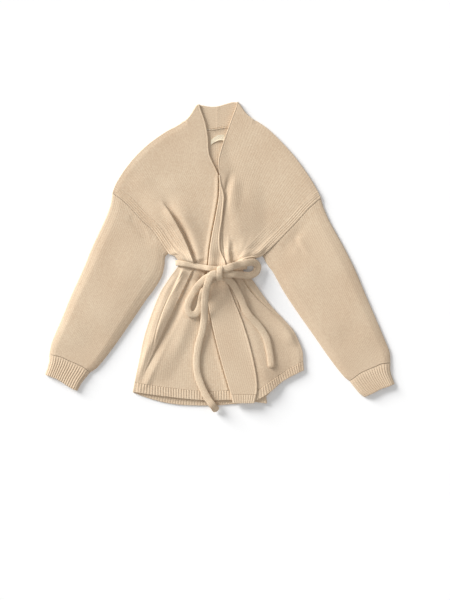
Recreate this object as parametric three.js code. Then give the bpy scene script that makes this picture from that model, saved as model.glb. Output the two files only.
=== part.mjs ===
import * as THREE from "three";

// A knitted kimono cardigan tied with its own belt, lying on its back on a flat surface.
// Sizes are in millimetres. +X is the wearer's left, +Y is the collar, +Z is up off the surface.
// Right and left are the wearer's. Tables have named columns and a row for each section.

// Walls and clearances
const wall = 3;
const seamGap = 0.3;
const layerGap = 1.6;
const foldGap = 1.2;
const thinnest = 2;

// Belt
const beltWide = 17;
const beltThick = 5.6;
const beltPulled = 13;
const beltPressed = 4.6;
const beltClear = 0.6;
const beltSides = 12;

// Gathers at the waist
const gatherReach = 85;
const squeezeReach = 24;
const gatherWall = 1.8;
const pleatCount = 5;
const pleatLift = 1.6;
const pleatHigh = 2.4;
const waistSides = { left: 60, right: -97, spread: 0.55 };

// Ribbed cuffs and hem bands
const ribPitch = 6.2;
const ribHigh = 1.3;

// Free edges and seams
const lipHigh = 1.2;
const ridgeHigh = 1.8;
const seamHigh = 0.6;
const turnInset = { outside: 1.8, inside: 3.6, middle: 3.2 };

const yarn = new THREE.Color("#dcc3a0");

function table(columns, ...rows) {
  return rows.map((row) => Object.fromEntries(columns.map((name, i) => [name, row[i]])));
}

const edge = (...rows) => table(["v", "x", "y"], ...rows);

// Side edges of the body from the hem (v 0) by the waist (v 1) and underarm to the shoulder end (v 2)
const underarm = 1.22;
const rightSide = edge(
  [0, -199, -303], [0.17, -188, -251], [0.35, -177, -199], [0.53, -160, -145], [0.7, -139, -94],
  [0.83, -118, -60], [0.94, -101, -37], [1, -94, -26], [1.05, -98, -15], [1.13, -106, -6],
  [1.22, -119, -1], [1.43, -155, 51], [1.58, -181, 76], [1.71, -201, 98], [1.82, -217, 115],
  [1.94, -239, 133], [2, -251, 141],
);
const leftSide = edge(
  [0, 197, -253], [0.08, 196, -232], [0.17, 188, -209], [0.29, 173, -180], [0.43, 148, -152],
  [0.58, 122, -124], [0.71, 101, -96], [0.84, 80, -66], [0.93, 63, -50], [0.97, 57, -42],
  [1, 56, -34], [1.04, 58, -26], [1.08, 66, -20], [1.14, 84, -13], [1.22, 102, -6],
  [1.37, 130, 20], [1.6, 169, 59],
  [1.74, 192, 84], [1.85, 210, 104], [1.95, 229, 121], [2, 239, 129],
);

// Free edge of the right front, which passes under the left front, up to the collar tip
const rightFree = edge(
  [0, 110, -331], [0.27, 91, -251], [0.58, 63, -157], [0.83, 39, -86], [1, 25, -40],
  [1.11, 28, 8], [1.23, 25, 55], [1.37, 18, 113], [1.48, 9, 153], [1.55, 0, 181],
  [1.62, -11, 205], [1.69, -22, 229], [1.73, -25, 247], [1.79, -26, 271], [1.89, -33, 308],
  [2, -48, 350],
);

// Inner side of the left front: the line where its margin turns back, then its own free edge
const leftTurn = edge(
  [0, 27, -331], [0.27, 4, -251], [0.48, -12, -188], [0.69, -25, -124], [0.85, -29, -75],
  [1, -27, -40], [1.1, -22.5, 8], [1.19, -17, 43], [1.32, -8, 90], [1.43, -1, 132],
  [1.5, 0.5, 165], [1.55, -0.5, 191], [1.65, -2, 219], [1.72, 5, 247], [1.81, 16, 280],
  [1.88, 26, 308], [2, 44, 356],
);

// Free edge of the turned-back margin, by height
const lip = table(
  ["v", "x"],
  [-360, 80], [-321, 89], [-279, 86], [-216, 72], [-164, 56], [-110, 35], [-72, 21],
  [-23, 15], [8, 3], [43, 2], [78, 7], [118, 11], [144, 12], [165, 9.5], [182, 7],
);
const marginTop = 1.54;

// Waist, belt, hem, shoulder, neck and collar lines across the body
const waistLine = table(["v", "y"], [-97, -23], [-50, -36], [-18, -40], [20, -40], [60, -33]);
const beltLine = table(["v", "y"], [-97, -23], [-67, -28], [-20, -36.5], [20, -38], [60, -32]);
const rightHem = edge(
  [0, -199, -303], [0.19, -139, -313], [0.385, -80, -320], [0.57, -22, -324], [0.72, 25, -322],
  [0.88, 72, -326], [1, 110, -331],
);
const rightHemEdge = edge(
  [0, -203, -326], [0.19, -139, -335], [0.385, -80, -342], [0.57, -22, -346], [0.72, 25, -345],
  [0.88, 72, -348], [1, 112, -353],
);
const leftHem = edge(
  [0, 27, -331], [0.06, 38, -331.5], [0.33, 89, -321], [0.49, 115, -303], [0.67, 143, -284],
  [0.84, 171, -267], [1, 197, -253],
);
const leftHemEdge = edge(
  [0, 32, -352], [0.33, 89, -344], [0.49, 121, -325], [0.67, 148, -302], [0.84, 176, -286],
  [1, 199, -275],
);
const backHem = edge(
  [0, -199, -303], [0.07, -172, -315], [0.17, -130, -327], [0.27, -90, -333],
  [0.38, -45, -336], [0.49, 2, -335], [0.58, 37, -332], [0.66, 70, -328], [0.74, 97, -313],
  [0.82, 124, -291], [0.91, 160, -269], [1, 197, -253],
);
const backHemEdge = edge(
  [0, -203, -327], [0.07, -174, -338], [0.17, -132, -350], [0.27, -92, -356],
  [0.38, -45, -358], [0.49, 2, -357], [0.58, 37, -354], [0.66, 75, -350], [0.74, 108, -338],
  [0.82, 136, -310], [0.91, 168, -289], [1, 198, -274],
);
const rightNeckAt = 0.75;
const rightShoulder = edge(
  [0, -251, 141], [0.054, -245, 158], [0.127, -233, 179], [0.203, -219, 200],
  [0.311, -196, 228], [0.439, -165, 257], [0.587, -125, 285], [0.677, -99, 299],
  [0.75, -79, 312], [0.81, -68, 325], [0.88, -60, 338], [0.94, -54, 347], [1, -48, 350],
);
const leftNeckAt = 0.25;
const leftShoulder = edge(
  [0, 44, 356], [0.06, 49, 349], [0.13, 57, 337], [0.19, 67, 325], [0.25, 83, 312],
  [0.327, 105, 299], [0.395, 122, 285], [0.518, 150, 257], [0.637, 176, 228],
  [0.745, 197, 200], [0.85, 216, 172], [0.948, 232, 144], [1, 239, 129],
);
const neckSeam = edge(
  [0, -79, 312], [0.17, -55, 298], [0.33, -29, 289], [0.5, -2, 292.5], [0.66, 25, 297],
  [0.83, 54, 303], [1, 83, 312],
);
const collarTop = edge(
  [0, -48, 350], [0.18, -35, 346.5], [0.36, -18, 344], [0.5, -2, 345.5], [0.68, 15, 350.5],
  [0.85, 32, 355], [1, 44, 356],
);
const backNeck = { from: 0.33, to: 0.67 };
const collarSteps = [0, 0.16, 0.33, 0.5];

// Sleeves: outer and inner fold from the armhole (v 0) to the cuff (v 1), and the cuffs
const rightSleeveOuter = edge(
  [0, -251, 141], [0.04, -253, 125], [0.1, -259, 102], [0.17, -271, 73], [0.32, -297, 17],
  [0.47, -320, -39], [0.62, -346, -96], [0.77, -369, -152], [0.92, -393, -209], [1, -399, -238],
);
const rightSleeveInner = edge(
  [0, -119, -1], [0.054, -127, -9], [0.12, -129, -30], [0.19, -135, -54], [0.28, -151, -82],
  [0.38, -172, -110], [0.57, -210, -166], [0.77, -250, -223], [0.94, -286, -268], [1, -303, -280],
);
const rightCuffLine = edge(
  [0, -303, -280], [0.2, -320, -267], [0.38, -337, -259], [0.55, -354, -252],
  [0.73, -371, -244], [1, -399, -238],
);
const rightCuffEdge = edge(
  [0, -333, -323], [0.13, -342, -320], [0.35, -360, -309], [0.6, -379, -297], [1, -409, -285],
);
const rightCuffOuter = edge([0, -399, -238], [0.4, -400, -256], [1, -409, -285]);
const rightCuffInner = edge([0, -303, -280], [0.35, -313, -292], [0.7, -324, -306], [1, -333, -323]);
const leftSleeveOuter = edge(
  [0, 239, 129], [0.03, 242, 116], [0.066, 247, 102], [0.14, 260, 73], [0.29, 291, 17],
  [0.44, 319, -39], [0.59, 343, -96], [0.73, 367, -152], [0.88, 391, -209], [0.94, 400, -232],
  [1, 402, -258],
);
const leftSleeveInner = edge(
  [0, 102, -6], [0.06, 113, -27], [0.13, 127, -46], [0.2, 140, -70], [0.28, 155, -96],
  [0.42, 183, -138], [0.62, 223, -195], [0.8, 260, -248], [0.95, 293, -290], [1, 306, -300],
);
const leftCuffLine = edge(
  [0, 306, -300], [0.1, 315, -294], [0.3, 331, -282], [0.48, 348, -274], [0.66, 365, -267],
  [0.83, 382, -260], [1, 402, -258],
);
const leftCuffEdge = edge(
  [0, 341, -338], [0.25, 361, -329], [0.5, 378, -320], [0.75, 395, -314], [1, 412, -307],
);
const leftCuffOuter = edge([0, 402, -258], [0.4, 402, -277], [0.7, 406, -291], [1, 412, -307]);
const leftCuffInner = edge([0, 306, -300], [0.3, 314, -311], [0.7, 330, -330], [1, 341, -338]);

// Folds and creases from a to c by b: half width, and height above the plain cloth
const fold = (...rows) => table(["xa", "ya", "xb", "yb", "xc", "yc", "wide", "high"], ...rows);
const rightFolds = fold(
  [-181, 158, -127, 73, -66, -8, 18, 3.6],
  [-135, 128, -92, 52, -58, -14, 10, -4.4],
  [-112, 140, -66, 60, -42, -4, 24, 3.2],
  [-122, 14, -95, -4, -62, -20, 9, 2.4],
  [-98, -58, -142, -170, -184, -290, 18, 4.2],
  [-60, -47, -112, -153, -186, -300, 10, -4.2],
  [-38, -60, -88, -150, -140, -260, 24, 2.8],
);
const leftFolds = fold(
  [12, 176, 16, 96, 27, 20, 13, -3],
  [46, 190, 56, 90, 50, 16, 30, 3.8],
  [20, 36, 28, 12, 32, -22, 7, -3.6],
  [96, 2, 70, -7, 38, -18, 9, 2.6],
  [56, -58, 100, -112, 136, -148, 9, -3.4],
  [72, -56, 122, -116, 172, -190, 17, 3.6],
  [44, -66, 84, -160, 122, -256, 26, 2.4],
);
const rightSleeveFolds = fold(
  [-210, 94, -186, 62, -165, 36, 14, -1.6],
  [-178, 20, -214, -60, -262, -150, 34, 2],
  [-270, 40, -308, -60, -350, -170, 34, 1.8],
);
const leftSleeveFolds = fold(
  [196, 74, 172, 40, 160, 16, 14, -1.4],
  [166, 8, 214, -80, 262, -160, 34, 2],
  [258, 40, 306, -60, 350, -170, 34, 1.8],
);

// Belt routes from the knot over the cloth, as the middle line of the belt
const route = (...rows) => table(["x", "y", "z"], ...rows);
const rightEndRoute = route(
  [-7.1, -49, 46], [-17, -51, 45.8], [-24, -63, 44.8], [-28, -76, 43.2], [-32, -96, 35.2],
  [-34, -122, 27.6], [-35, -150, 17], [-39, -180, 13.8], [-48, -214, 12.2], [-53, -249, 11.4],
  [-51, -282, 11.6], [-41, -312, 13.4], [-27, -340, 15.4], [-14, -358, 15.6], [-5, -371, 3.2],
);
const leftEndRoute = route(
  [8.9, -57, 32.6], [18, -60, 32.8], [30, -71, 28.4], [42, -90, 21.4], [52, -110, 19.2],
  [60, -130, 18.4], [71, -147, 18.2], [92, -170, 15.6], [109, -196, 14], [117, -226, 14],
  [121, -251, 14], [122, -270, 14],
);
const rightLoopRoute = route(
  [-7.1, -53, 40], [-17, -54, 39], [-31, -60, 38.2], [-44, -71, 33.2], [-56, -87, 18],
  [-68, -108, 15.6], [-74, -128, 14.6], [-68, -142, 14.4], [-56, -143, 13.4], [-47, -131, 13.2],
  [-42, -112, 14.6], [-37, -92, 26], [-28, -75, 30.4], [-17, -63, 33.2], [-7.1, -62, 34],
);
const leftLoopRoute = route(
  [8.9, -38, 42.8], [18, -36.5, 42.8], [30, -32, 41.2], [47, -27, 30.2], [66, -22.5, 24.8],
  [81, -22, 17.6], [90, -31, 11], [86, -44.5, 11], [74, -52, 16.6], [57, -52, 22.6],
  [37, -50, 36], [20, -49, 38.4], [8.9, -49, 38.2],
);

// Label on the back's inner face under the neck seam, a short curled band
const labelRows = table(
  ["v", "x", "yTop", "yLow", "rise"],
  [0, -20, 265, 254, 0.1], [0.3, -10, 273, 261, 0.6], [0.6, 0, 278, 265, 0.6], [1, 13, 277, 264, 0],
);
const labelThick = 0.8;

// Value of a column at place v, smooth through the rows
function at(rows, column, place) {
  const last = rows.length - 1;
  const v = THREE.MathUtils.clamp(place, rows[0].v, rows[last].v);
  let i = 0;
  while (i < last - 1 && v > rows[i + 1].v) i += 1;
  const slope = (k) => {
    const before = rows[Math.max(0, k - 1)];
    const after = rows[Math.min(last, k + 1)];
    return (after[column] - before[column]) / (after.v - before.v);
  };
  const span = rows[i + 1].v - rows[i].v;
  const t = (v - rows[i].v) / span;
  const t2 = t * t;
  const t3 = t2 * t;
  return (2 * t3 - 3 * t2 + 1) * rows[i][column] + (t3 - 2 * t2 + t) * span * slope(i)
    + (3 * t2 - 2 * t3) * rows[i + 1][column] + (t3 - t2) * span * slope(i + 1);
}

const spot = (rows, v) => new THREE.Vector2(at(rows, "x", v), at(rows, "y", v));
const mix = (a, b, t) => a.clone().lerp(b, t);
const ease = (t) => THREE.MathUtils.smoothstep(t, 0, 1);
const bump = (t) => (Math.abs(t) < 1 ? (1 - t * t) ** 2 : 0);

// Point of a four-sided patch of cloth between its two sides and its lower and upper lines
function patch(sides, lines, across, up, v) {
  const bulge = (line) => spotOf(line, across).sub(mix(spotOf(line, 0), spotOf(line, 1), across));
  return mix(spot(sides.from, v), spot(sides.to, v), across)
    .add(bulge(lines.low).multiplyScalar(1 - up))
    .add(bulge(lines.high).multiplyScalar(up));
}

function spotOf(line, across) {
  return typeof line === "function" ? line(across) : spot(line, across);
}

// A body panel: its lower half reaches from the hem to the waist, its upper half to the shoulder
function bodyPoint(panel, across, v) {
  const waist = (u) => {
    const x = THREE.MathUtils.lerp(at(panel.from, "x", 1), at(panel.to, "x", 1), u);
    return new THREE.Vector2(x, at(waistLine, "y", x));
  };
  const lines = v < 1 ? { low: panel.hem, high: waist } : { low: waist, high: panel.top };
  return patch(panel, lines, across, v < 1 ? v : v - 1, v);
}

const shoulderPart = (rows, from, to) => rows.map((r) => ({ ...r, v: from + r.v * (to - from) }));
const backTop = [
  ...shoulderPart(rightShoulder.filter((r) => r.v < rightNeckAt), 0, backNeck.from / rightNeckAt),
  ...shoulderPart(neckSeam, backNeck.from, backNeck.to),
  ...leftShoulder.filter((r) => r.v > leftNeckAt).map((r) => ({
    ...r,
    v: backNeck.to + ((r.v - leftNeckAt) / (1 - leftNeckAt)) * (1 - backNeck.to),
  })),
];
const panels = {
  back: { from: rightSide, to: leftSide, hem: backHem, top: backTop },
  right: { from: rightSide, to: rightFree, hem: rightHem, top: rightShoulder },
  left: { from: leftTurn, to: leftSide, hem: leftHem, top: leftShoulder },
};

// Rows from the hem to the shoulder. The last ones are the armhole's, which the sleeve shares.
const armholeSteps = [0, 0.05, 0.16, 0.28, 0.4, 0.52, 0.64, 0.76, 0.88, 0.96, 1];
const armholeAt = (step) => underarm + step * (2 - underarm);
const bodyRows = [
  0, 0.15, 0.3, 0.45, 0.6, 0.73, 0.84, 0.92, 0.965, 1, 1.03, 1.08, 1.14,
  ...armholeSteps.map(armholeAt),
];

// How near a place is to the tied waist, and the gathers that run out from it
const fromWaist = (x, y) => y - at(waistLine, "y", x);
const gathered = (x, y) => bump(fromWaist(x, y) / gatherReach);
const squeezed = (x, y) => bump(fromWaist(x, y) / squeezeReach);
const beltLift = (x, y) => (beltPressed + beltClear) * ease((34 - Math.abs(fromWaist(x, y))) / 24);

function pleat(x, y) {
  const spread = waistSides.spread * Math.abs(fromWaist(x, y));
  const from = waistSides.right - spread;
  const to = waistSides.left + spread;
  return 0.5 - 0.5 * Math.cos(2 * Math.PI * pleatCount * ((x - from) / (to - from)));
}

function foldHeight(folds, x, y) {
  const point = new THREE.Vector3(x, y, 0);
  const nearest = new THREE.Vector3();
  let sum = 0;
  for (const f of folds) {
    const a = new THREE.Vector3(f.xa, f.ya, 0);
    const b = new THREE.Vector3(f.xb, f.yb, 0);
    const c = new THREE.Vector3(f.xc, f.yc, 0);
    const reach = [new THREE.Line3(a, b), new THREE.Line3(b, c)].map((part) =>
      part.closestPointToPoint(point, true, nearest).distanceTo(point));
    sum += f.high * bump(Math.min(...reach) / (2 * f.wide));
  }
  return sum;
}

// Heights of the layers at a place. rim is the distance to the nearest side seam.
function backUnder(x, y, rim) {
  const near = gathered(x, y);
  const rise = 3 * near * ease(1 - rim / 12);
  return beltLift(x, y) + rise + pleatLift * near * pleat(x, y) * ease(rim / 12);
}

function backOver(x, y, rim) {
  return backUnder(x, y, rim) + wall + gatherWall * gathered(x, y) * ease(rim / 14);
}

function swell(folds, x, y) {
  return Math.max(0, foldHeight(folds, x, y));
}

function rightUnder(x, y, rim, open) {
  const inside = Math.max(open, ease(rim / 12));
  const lift = Math.min(2, 0.5 * swell(rightFolds, x, y)) * ease(rim / 16);
  return backOver(x, y, rim) + seamGap + (layerGap - seamGap) * inside + lift;
}

function relief(folds, x, y, rim) {
  const near = gathered(x, y);
  const loose = 1 - 0.75 * squeezed(x, y);
  const gathers = near * (gatherWall + pleatHigh * pleat(x, y) * loose);
  const creased = foldHeight(folds, x, y) * (1 - squeezed(x, y));
  return Math.max(thinnest - wall, (gathers + creased) * ease((rim + 2) / 16));
}

function rightOver(x, y, rim, open) {
  return rightUnder(x, y, rim, open) + wall + 0.7 * relief(rightFolds, x, y, rim);
}

// The left front rides up over the hidden free edge of the right front
function freeEdgeX(y) {
  let best = rightFree[0];
  for (const row of rightFree) if (row.y <= y) best = row;
  const next = rightFree[Math.min(rightFree.length - 1, rightFree.indexOf(best) + 1)];
  const t = next === best ? 0 : THREE.MathUtils.clamp((y - best.y) / (next.y - best.y), 0, 1);
  return THREE.MathUtils.lerp(best.x, next.x, t);
}

const overlap = (x, y) => ease((freeEdgeX(y) + 20 - x) / 13);

function leftUnder(x, y, rim, open) {
  const inside = Math.max(open, ease(rim / 12));
  const low = backOver(x, y, rim) + seamGap + (layerGap - seamGap) * inside
    + Math.min(2, 0.5 * swell(leftFolds, x, y)) * ease(rim / 16);
  const laid = overlap(x, y);
  const overLip = lipHigh * bump((x - freeEdgeX(y)) / 24);
  const onRight = rightOver(x, y, rim, 1) + overLip + layerGap;
  return THREE.MathUtils.lerp(low, onRight, laid);
}

// The belt presses the overlapped part flatter than the rest
function leftOver(x, y, rim, open) {
  const pressed = 1 - 0.6 * gathered(x, y) * ease((at(lip, "x", y) + 16 - x) / 14);
  return leftUnder(x, y, rim, open) + wall + 0.7 * pressed * relief(leftFolds, x, y, rim);
}

const marginUnder = (x, y) => leftOver(x, y, turnedRim, 1) + foldGap;

// Cloth as a closed wall: a grid vertex holds a point on each of its two faces
const vertex = (x, y, z, under) => ({
  face: new THREE.Vector3(x, y, z),
  lining: new THREE.Vector3(x, y, under),
});

function closedCloth(grids) {
  const numbers = new Map();
  const number = (p) => {
    if (!numbers.has(p)) numbers.set(p, numbers.size);
    return numbers.get(p);
  };
  const edges = new Map();
  const corners = [];
  const quad = (a, b, c, d) => corners.push(a, b, c, a, c, d);
  for (const grid of grids) {
    for (let j = 0; j + 1 < grid.length; j += 1) {
      for (let i = 0; i + 1 < grid[j].length; i += 1) {
        const ring = [grid[j][i], grid[j][i + 1], grid[j + 1][i + 1], grid[j + 1][i]];
        quad(...ring.map((p) => p.face));
        quad(...ring.map((p) => p.lining).reverse());
        ring.forEach((p, k) => {
          const q = ring[(k + 1) % 4];
          const back = `${number(q)} ${number(p)}`;
          if (edges.has(back)) edges.delete(back);
          else edges.set(`${number(p)} ${number(q)}`, [p, q]);
        });
      }
    }
  }
  for (const [p, q] of edges.values()) quad(p.lining, q.lining, q.face, p.face);
  return solidFrom(corners);
}

// A solid through closed rings of points, joined end to start or capped
function closedLoft(rings, joined) {
  const corners = [];
  const count = rings[0].length;
  const steps = joined ? rings.length : rings.length - 1;
  for (let j = 0; j < steps; j += 1) {
    const next = rings[(j + 1) % rings.length];
    for (let i = 0; i < count; i += 1) {
      const k = (i + 1) % count;
      corners.push(rings[j][i], rings[j][k], next[k], rings[j][i], next[k], next[i]);
    }
  }
  if (!joined) {
    for (let i = 1; i + 1 < count; i += 1) {
      const end = rings[rings.length - 1];
      corners.push(rings[0][0], rings[0][i + 1], rings[0][i], end[0], end[i], end[i + 1]);
    }
  }
  return solidFrom(corners);
}

function solidFrom(corners) {
  let volume = 0;
  for (let i = 0; i < corners.length; i += 3) {
    volume += corners[i].dot(corners[i + 1].clone().cross(corners[i + 2]));
  }
  const ordered = volume < 0 ? [...corners].reverse() : corners;
  const geometry = new THREE.BufferGeometry().setFromPoints(ordered);
  geometry.computeVertexNormals();
  return geometry;
}

function knit(name, geometry, shade = 0) {
  const material = new THREE.MeshStandardMaterial({
    color: yarn.clone().offsetHSL(0, 0, shade),
    roughness: 0.95,
    metalness: 0,
  });
  const mesh = new THREE.Mesh(geometry, material);
  mesh.name = name;
  return mesh;
}

// How open the side is: shut at the side and shoulder seams, open along the armhole
const armholeOpen = (v) => ease((v - underarm) / 0.12) * ease((2 - v) / 0.1);
const shoulderShut = (point, top) => ease(point.distanceTo(top) / 14);

// Back
const neckColumns = [...collarSteps, ...collarSteps.slice(0, -1).reverse().map((s) => 1 - s)]
  .map((s) => THREE.MathUtils.lerp(backNeck.from, backNeck.to, s));
const backColumns = [
  0, 0.02, 0.05, 0.09, 0.13, 0.17, 0.21, 0.25, 0.29, ...neckColumns,
  0.71, 0.75, 0.79, 0.83, 0.87, 0.91, 0.95, 0.98, 1,
];

function back() {
  const panel = panels.back;
  const grid = bodyRows.map((v) => backColumns.map((u) => {
    const p = bodyPoint(panel, u, v);
    const rim = Math.min(p.distanceTo(bodyPoint(panel, 0, v)), p.distanceTo(bodyPoint(panel, 1, v)));
    const seam = v === 2 && u > backNeck.from && u < backNeck.to ? seamHigh : 0;
    return vertex(p.x, p.y, backOver(p.x, p.y, rim) + seam, backUnder(p.x, p.y, rim));
  }));
  return closedCloth([grid]);
}

// Two raised ridges beside the armhole seam, by column
const ridgeColumns = [0, 0.024, 0.042, 0.06, 0.08];
const ridges = [0.4, 1, 0, 1, 0];

function ridgeAt(index, v) {
  return index < ridges.length ? ridges[index] * ridgeHigh * ease((v - underarm) / 0.05) : 0;
}

const rightColumns = [
  ...ridgeColumns, 0.14, 0.2, 0.26, 0.32, 0.38, 0.44, 0.5, 0.56, 0.63, 0.69, 0.75, 0.81, 0.87,
  0.93, 0.97, 1,
];
const leftColumns = [
  0, 0.04, 0.09, 0.14, 0.19, 0.25, 0.31, 0.37, 0.43, 0.5, 0.57, 0.64, 0.71, 0.78, 0.85,
  ...ridgeColumns.map((u) => 1 - u).reverse(),
];

function frontVertex(panel, heights, u, v, side, extra, collar) {
  const p = bodyPoint(panel, u, v);
  const rim = p.distanceTo(bodyPoint(panel, side, v));
  const shut = collar ? 1 : shoulderShut(p, bodyPoint(panel, u, 2));
  const open = armholeOpen(v);
  const low = backOver(p.x, p.y, rim) + seamGap;
  const under = THREE.MathUtils.lerp(low, heights.under(p.x, p.y, rim, open), shut);
  const over = under + heights.over(p.x, p.y, rim, open) - heights.under(p.x, p.y, rim, open);
  return vertex(p.x, p.y, over + extra, under);
}

// The collar half grows on from the front, turns over the neck's outline and lies behind the
// neck with its inner face up, as far as the seam at the centre back
function collarHalf(topRow, columns, top, mirror) {
  const inward = (p, by) => {
    const centre = new THREE.Vector2(-2, 318);
    return p.clone().add(centre.sub(p).setLength(by));
  };
  const rows = [];
  const turn = columns.map((u) => spot(top, u));
  const at3 = (p, z) => new THREE.Vector3(p.x, p.y, z);
  topRow.forEach((corner, i) => {
    corner.face.set(...inward(turn[i], turnInset.outside).toArray(), corner.face.z);
    corner.lining.set(...inward(turn[i], turnInset.inside).toArray(), corner.lining.z);
  });
  rows.push(topRow);
  rows.push(columns.map((u, i) => ({
    face: at3(turn[i], wall + layerGap / 2),
    lining: at3(inward(turn[i], turnInset.middle), wall + layerGap / 2),
  })));
  for (const step of collarSteps) {
    const along = mirror ? 1 - step : step;
    const low = spot(neckSeam, along);
    const high = spot(collarTop, along);
    const middle = step === collarSteps[collarSteps.length - 1];
    const apart = middle ? (mirror ? seamGap : -seamGap) / 2 : 0;
    low.y += 2 * seamGap;
    rows.push(columns.map((u, i) => {
      const side = (u - columns[0]) / (columns[columns.length - 1] - columns[0]);
      const p = mix(low, high, mirror ? 1 - side : side);
      p.x += apart;
      if (step > 0) return { face: at3(p, 0), lining: at3(p, wall + (middle ? seamHigh : 0)) };
      return {
        face: at3(inward(turn[i], turnInset.outside), 0),
        lining: at3(inward(turn[i], turnInset.inside), wall),
      };
    }));
  }
  return rows;
}

function frontRight() {
  const panel = panels.right;
  const heights = { under: rightUnder, over: rightOver };
  const grid = bodyRows.map((v) => rightColumns.map((u, i) => {
    const raised = ridgeAt(i, v) + (u >= 0.97 ? lipHigh * (u === 1 ? 0.5 : 1) : 0);
    return frontVertex(panel, heights, u, v, 0, raised, u >= rightNeckAt);
  }));
  const first = rightColumns.indexOf(rightNeckAt);
  const columns = rightColumns.slice(first);
  const topRow = grid[grid.length - 1].slice(first);
  const collar = collarHalf(topRow, columns, rightShoulder, false);
  return closedCloth([grid, collar]);
}

// The left front's margin turns back over its own face from the turn line to the lip
const marginColumns = [1, 0.9, 0.66, 0.33];
const turnedRim = 40;

function marginCells(turn, columns, seat, raised) {
  const edgeX = at(lip, "x", turn.y);
  const place = (x, z) => new THREE.Vector3(turn.x + x, turn.y, z);
  const cells = columns.map((t, i) => {
    const x = THREE.MathUtils.lerp(turnInset.inside, edgeX - turn.x, t);
    const z = seat(turn.x + x);
    return { face: place(x, z), lining: place(x, z + wall + raised(t, i)) };
  });
  const base = seat(turn.x + turnInset.inside);
  cells.push({
    face: place(turnInset.inside, base),
    lining: place(turnInset.outside, base + wall - seamGap),
  });
  cells.push({
    face: place(turnInset.middle, base - foldGap / 2),
    lining: place(0, base - foldGap / 2),
  });
  return cells;
}

const lipRise = (t) => (t === 1 ? 0.5 * lipHigh : t === 0.9 ? lipHigh : 0);

function marginRow(v) {
  const turn = spot(panels.left.from, v);
  return marginCells(turn, marginColumns, (x) => marginUnder(x, turn.y), lipRise);
}

function frontLeft() {
  const panel = panels.left;
  const heights = { under: leftUnder, over: leftOver };
  const grid = bodyRows.map((v) => leftColumns.map((u, i) => {
    const fromSide = leftColumns.length - 1 - i;
    const free = v > marginTop && u <= 0.04 ? lipHigh * (u === 0 ? 0.5 : 1) : 0;
    const cell = frontVertex(panel, heights, u, v, 1, ridgeAt(fromSide, v) + free, u <= leftNeckAt);
    if (u === 0 && v <= marginTop) {
      cell.face.x += turnInset.inside;
      cell.lining.x += turnInset.outside;
    }
    return cell;
  }));
  const last = leftColumns.indexOf(leftNeckAt);
  const columns = leftColumns.slice(0, last + 1);
  const topRow = grid[grid.length - 1].slice(0, last + 1);
  const collar = collarHalf(topRow, columns, leftShoulder, true);
  const margin = bodyRows.filter((v) => v <= marginTop)
    .map((v, j) => [...marginRow(v), grid[j][0]]);
  return closedCloth([grid, collar, margin]);
}

// Sleeves and cuffs are flattened tubes: the upper wall lies on the lower one
const sleeveRows = [0.0016, 0.05, 0.11, 0.18, 0.27, 0.38, 0.5, 0.62, 0.74, 0.86, 0.95, 1];

function tubeRing(place, across, heights) {
  const top = across.map((s) => ({ s, upper: true }));
  const low = across.slice(1, -1).reverse().map((s) => ({ s, upper: false }));
  const ring = [...top, ...low].map(({ s, upper }) => {
    const width = place(0).distanceTo(place(1));
    const inset = wall / width;
    const outer = place(s);
    const inner = place(THREE.MathUtils.lerp(inset, 1 - inset, s));
    const rim = s === 0 || s === 1;
    const gap = heights.gap(s);
    const middle = wall + seamGap / 2;
    const face = rim ? middle : upper ? 2 * wall + gap + heights.relief(outer, s) : 0;
    const lining = rim ? middle : upper ? wall + gap : wall;
    return {
      face: new THREE.Vector3(outer.x, outer.y, face),
      lining: new THREE.Vector3(inner.x, inner.y, lining),
    };
  });
  ring.push(ring[0]);
  return ring;
}

const hollow = (s, high) => seamGap + (high - seamGap) * ease(s / 0.14) * ease((1 - s) / 0.14);

function sleeve(side, outer, inner, cuffLine, folds) {
  const armhole = (s) => spot(side, armholeAt(s));
  const sides = { from: inner, to: outer };
  const grid = sleeveRows.map((t) => {
    const high = layerGap + 2 * ease(t / 0.3) - 1 * ease((t - 0.8) / 0.2);
    const line = t === 1 ? 1 - 0.001 : t;
    return tubeRing((s) => patch(sides, { low: armhole, high: cuffLine }, s, t, line), armholeSteps, {
      gap: (s) => hollow(s, high),
      relief: (p, s) => Math.max(-1, foldHeight(folds, p.x, p.y)) * ease(t / 0.08) * bump(2 * s - 1),
    });
  });
  return closedCloth([grid]);
}

// One raised rib and one hollow beside it for each pitch
function ribSteps(count) {
  return Array.from({ length: 2 * count + 1 }, (unused, i) => i / (2 * count));
}

function cuff(line, rim, outer, inner) {
  const count = Math.round(spot(line, 0).distanceTo(spot(line, 1)) / ribPitch);
  const steps = ribSteps(count);
  const sides = { from: inner, to: outer };
  const grid = [0.006, 0.5, 1].map((t) =>
    tubeRing((s) => patch(sides, { low: line, high: rim }, s, t, t), steps, {
      gap: (s) => hollow(s, 2.6),
      relief: (p, s) => (Math.round(s * 2 * count) % 2 ? ribHigh : 0),
    }));
  return closedCloth([grid]);
}

// Hem bands: ribs run down from the panel's lower line to the edge. The upper line keeps to the
// panel's own corners so that the seam is even.
function onCorners(columns, line, u) {
  let i = 0;
  while (i + 2 < columns.length && u > columns[i + 1]) i += 1;
  const t = (u - columns[i]) / (columns[i + 1] - columns[i]);
  return mix(spot(line, columns[i]), spot(line, columns[i + 1]), t);
}

const bandRows = [0.016, 1];

function hemBand(panel, columns, low, wide, heights) {
  const count = Math.round(wide / ribPitch);
  const ends = heights.seams.map((u) => spot(panel.hem, u));
  return bandRows.map((t) => ribSteps(count).map((u, i) => {
    const p = mix(onCorners(columns, panel.hem, u), spot(low, u), t);
    const rim = Math.min(...ends.map((end) => Math.abs(end.x - p.x)));
    const rib = i % 2 && !heights.hidden?.(p) ? ribHigh * ease(rim / 14) : 0;
    const under = heights.under(p.x, p.y, rim, 0);
    return vertex(p.x, p.y, under + wall + rib, under);
  }));
}

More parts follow.
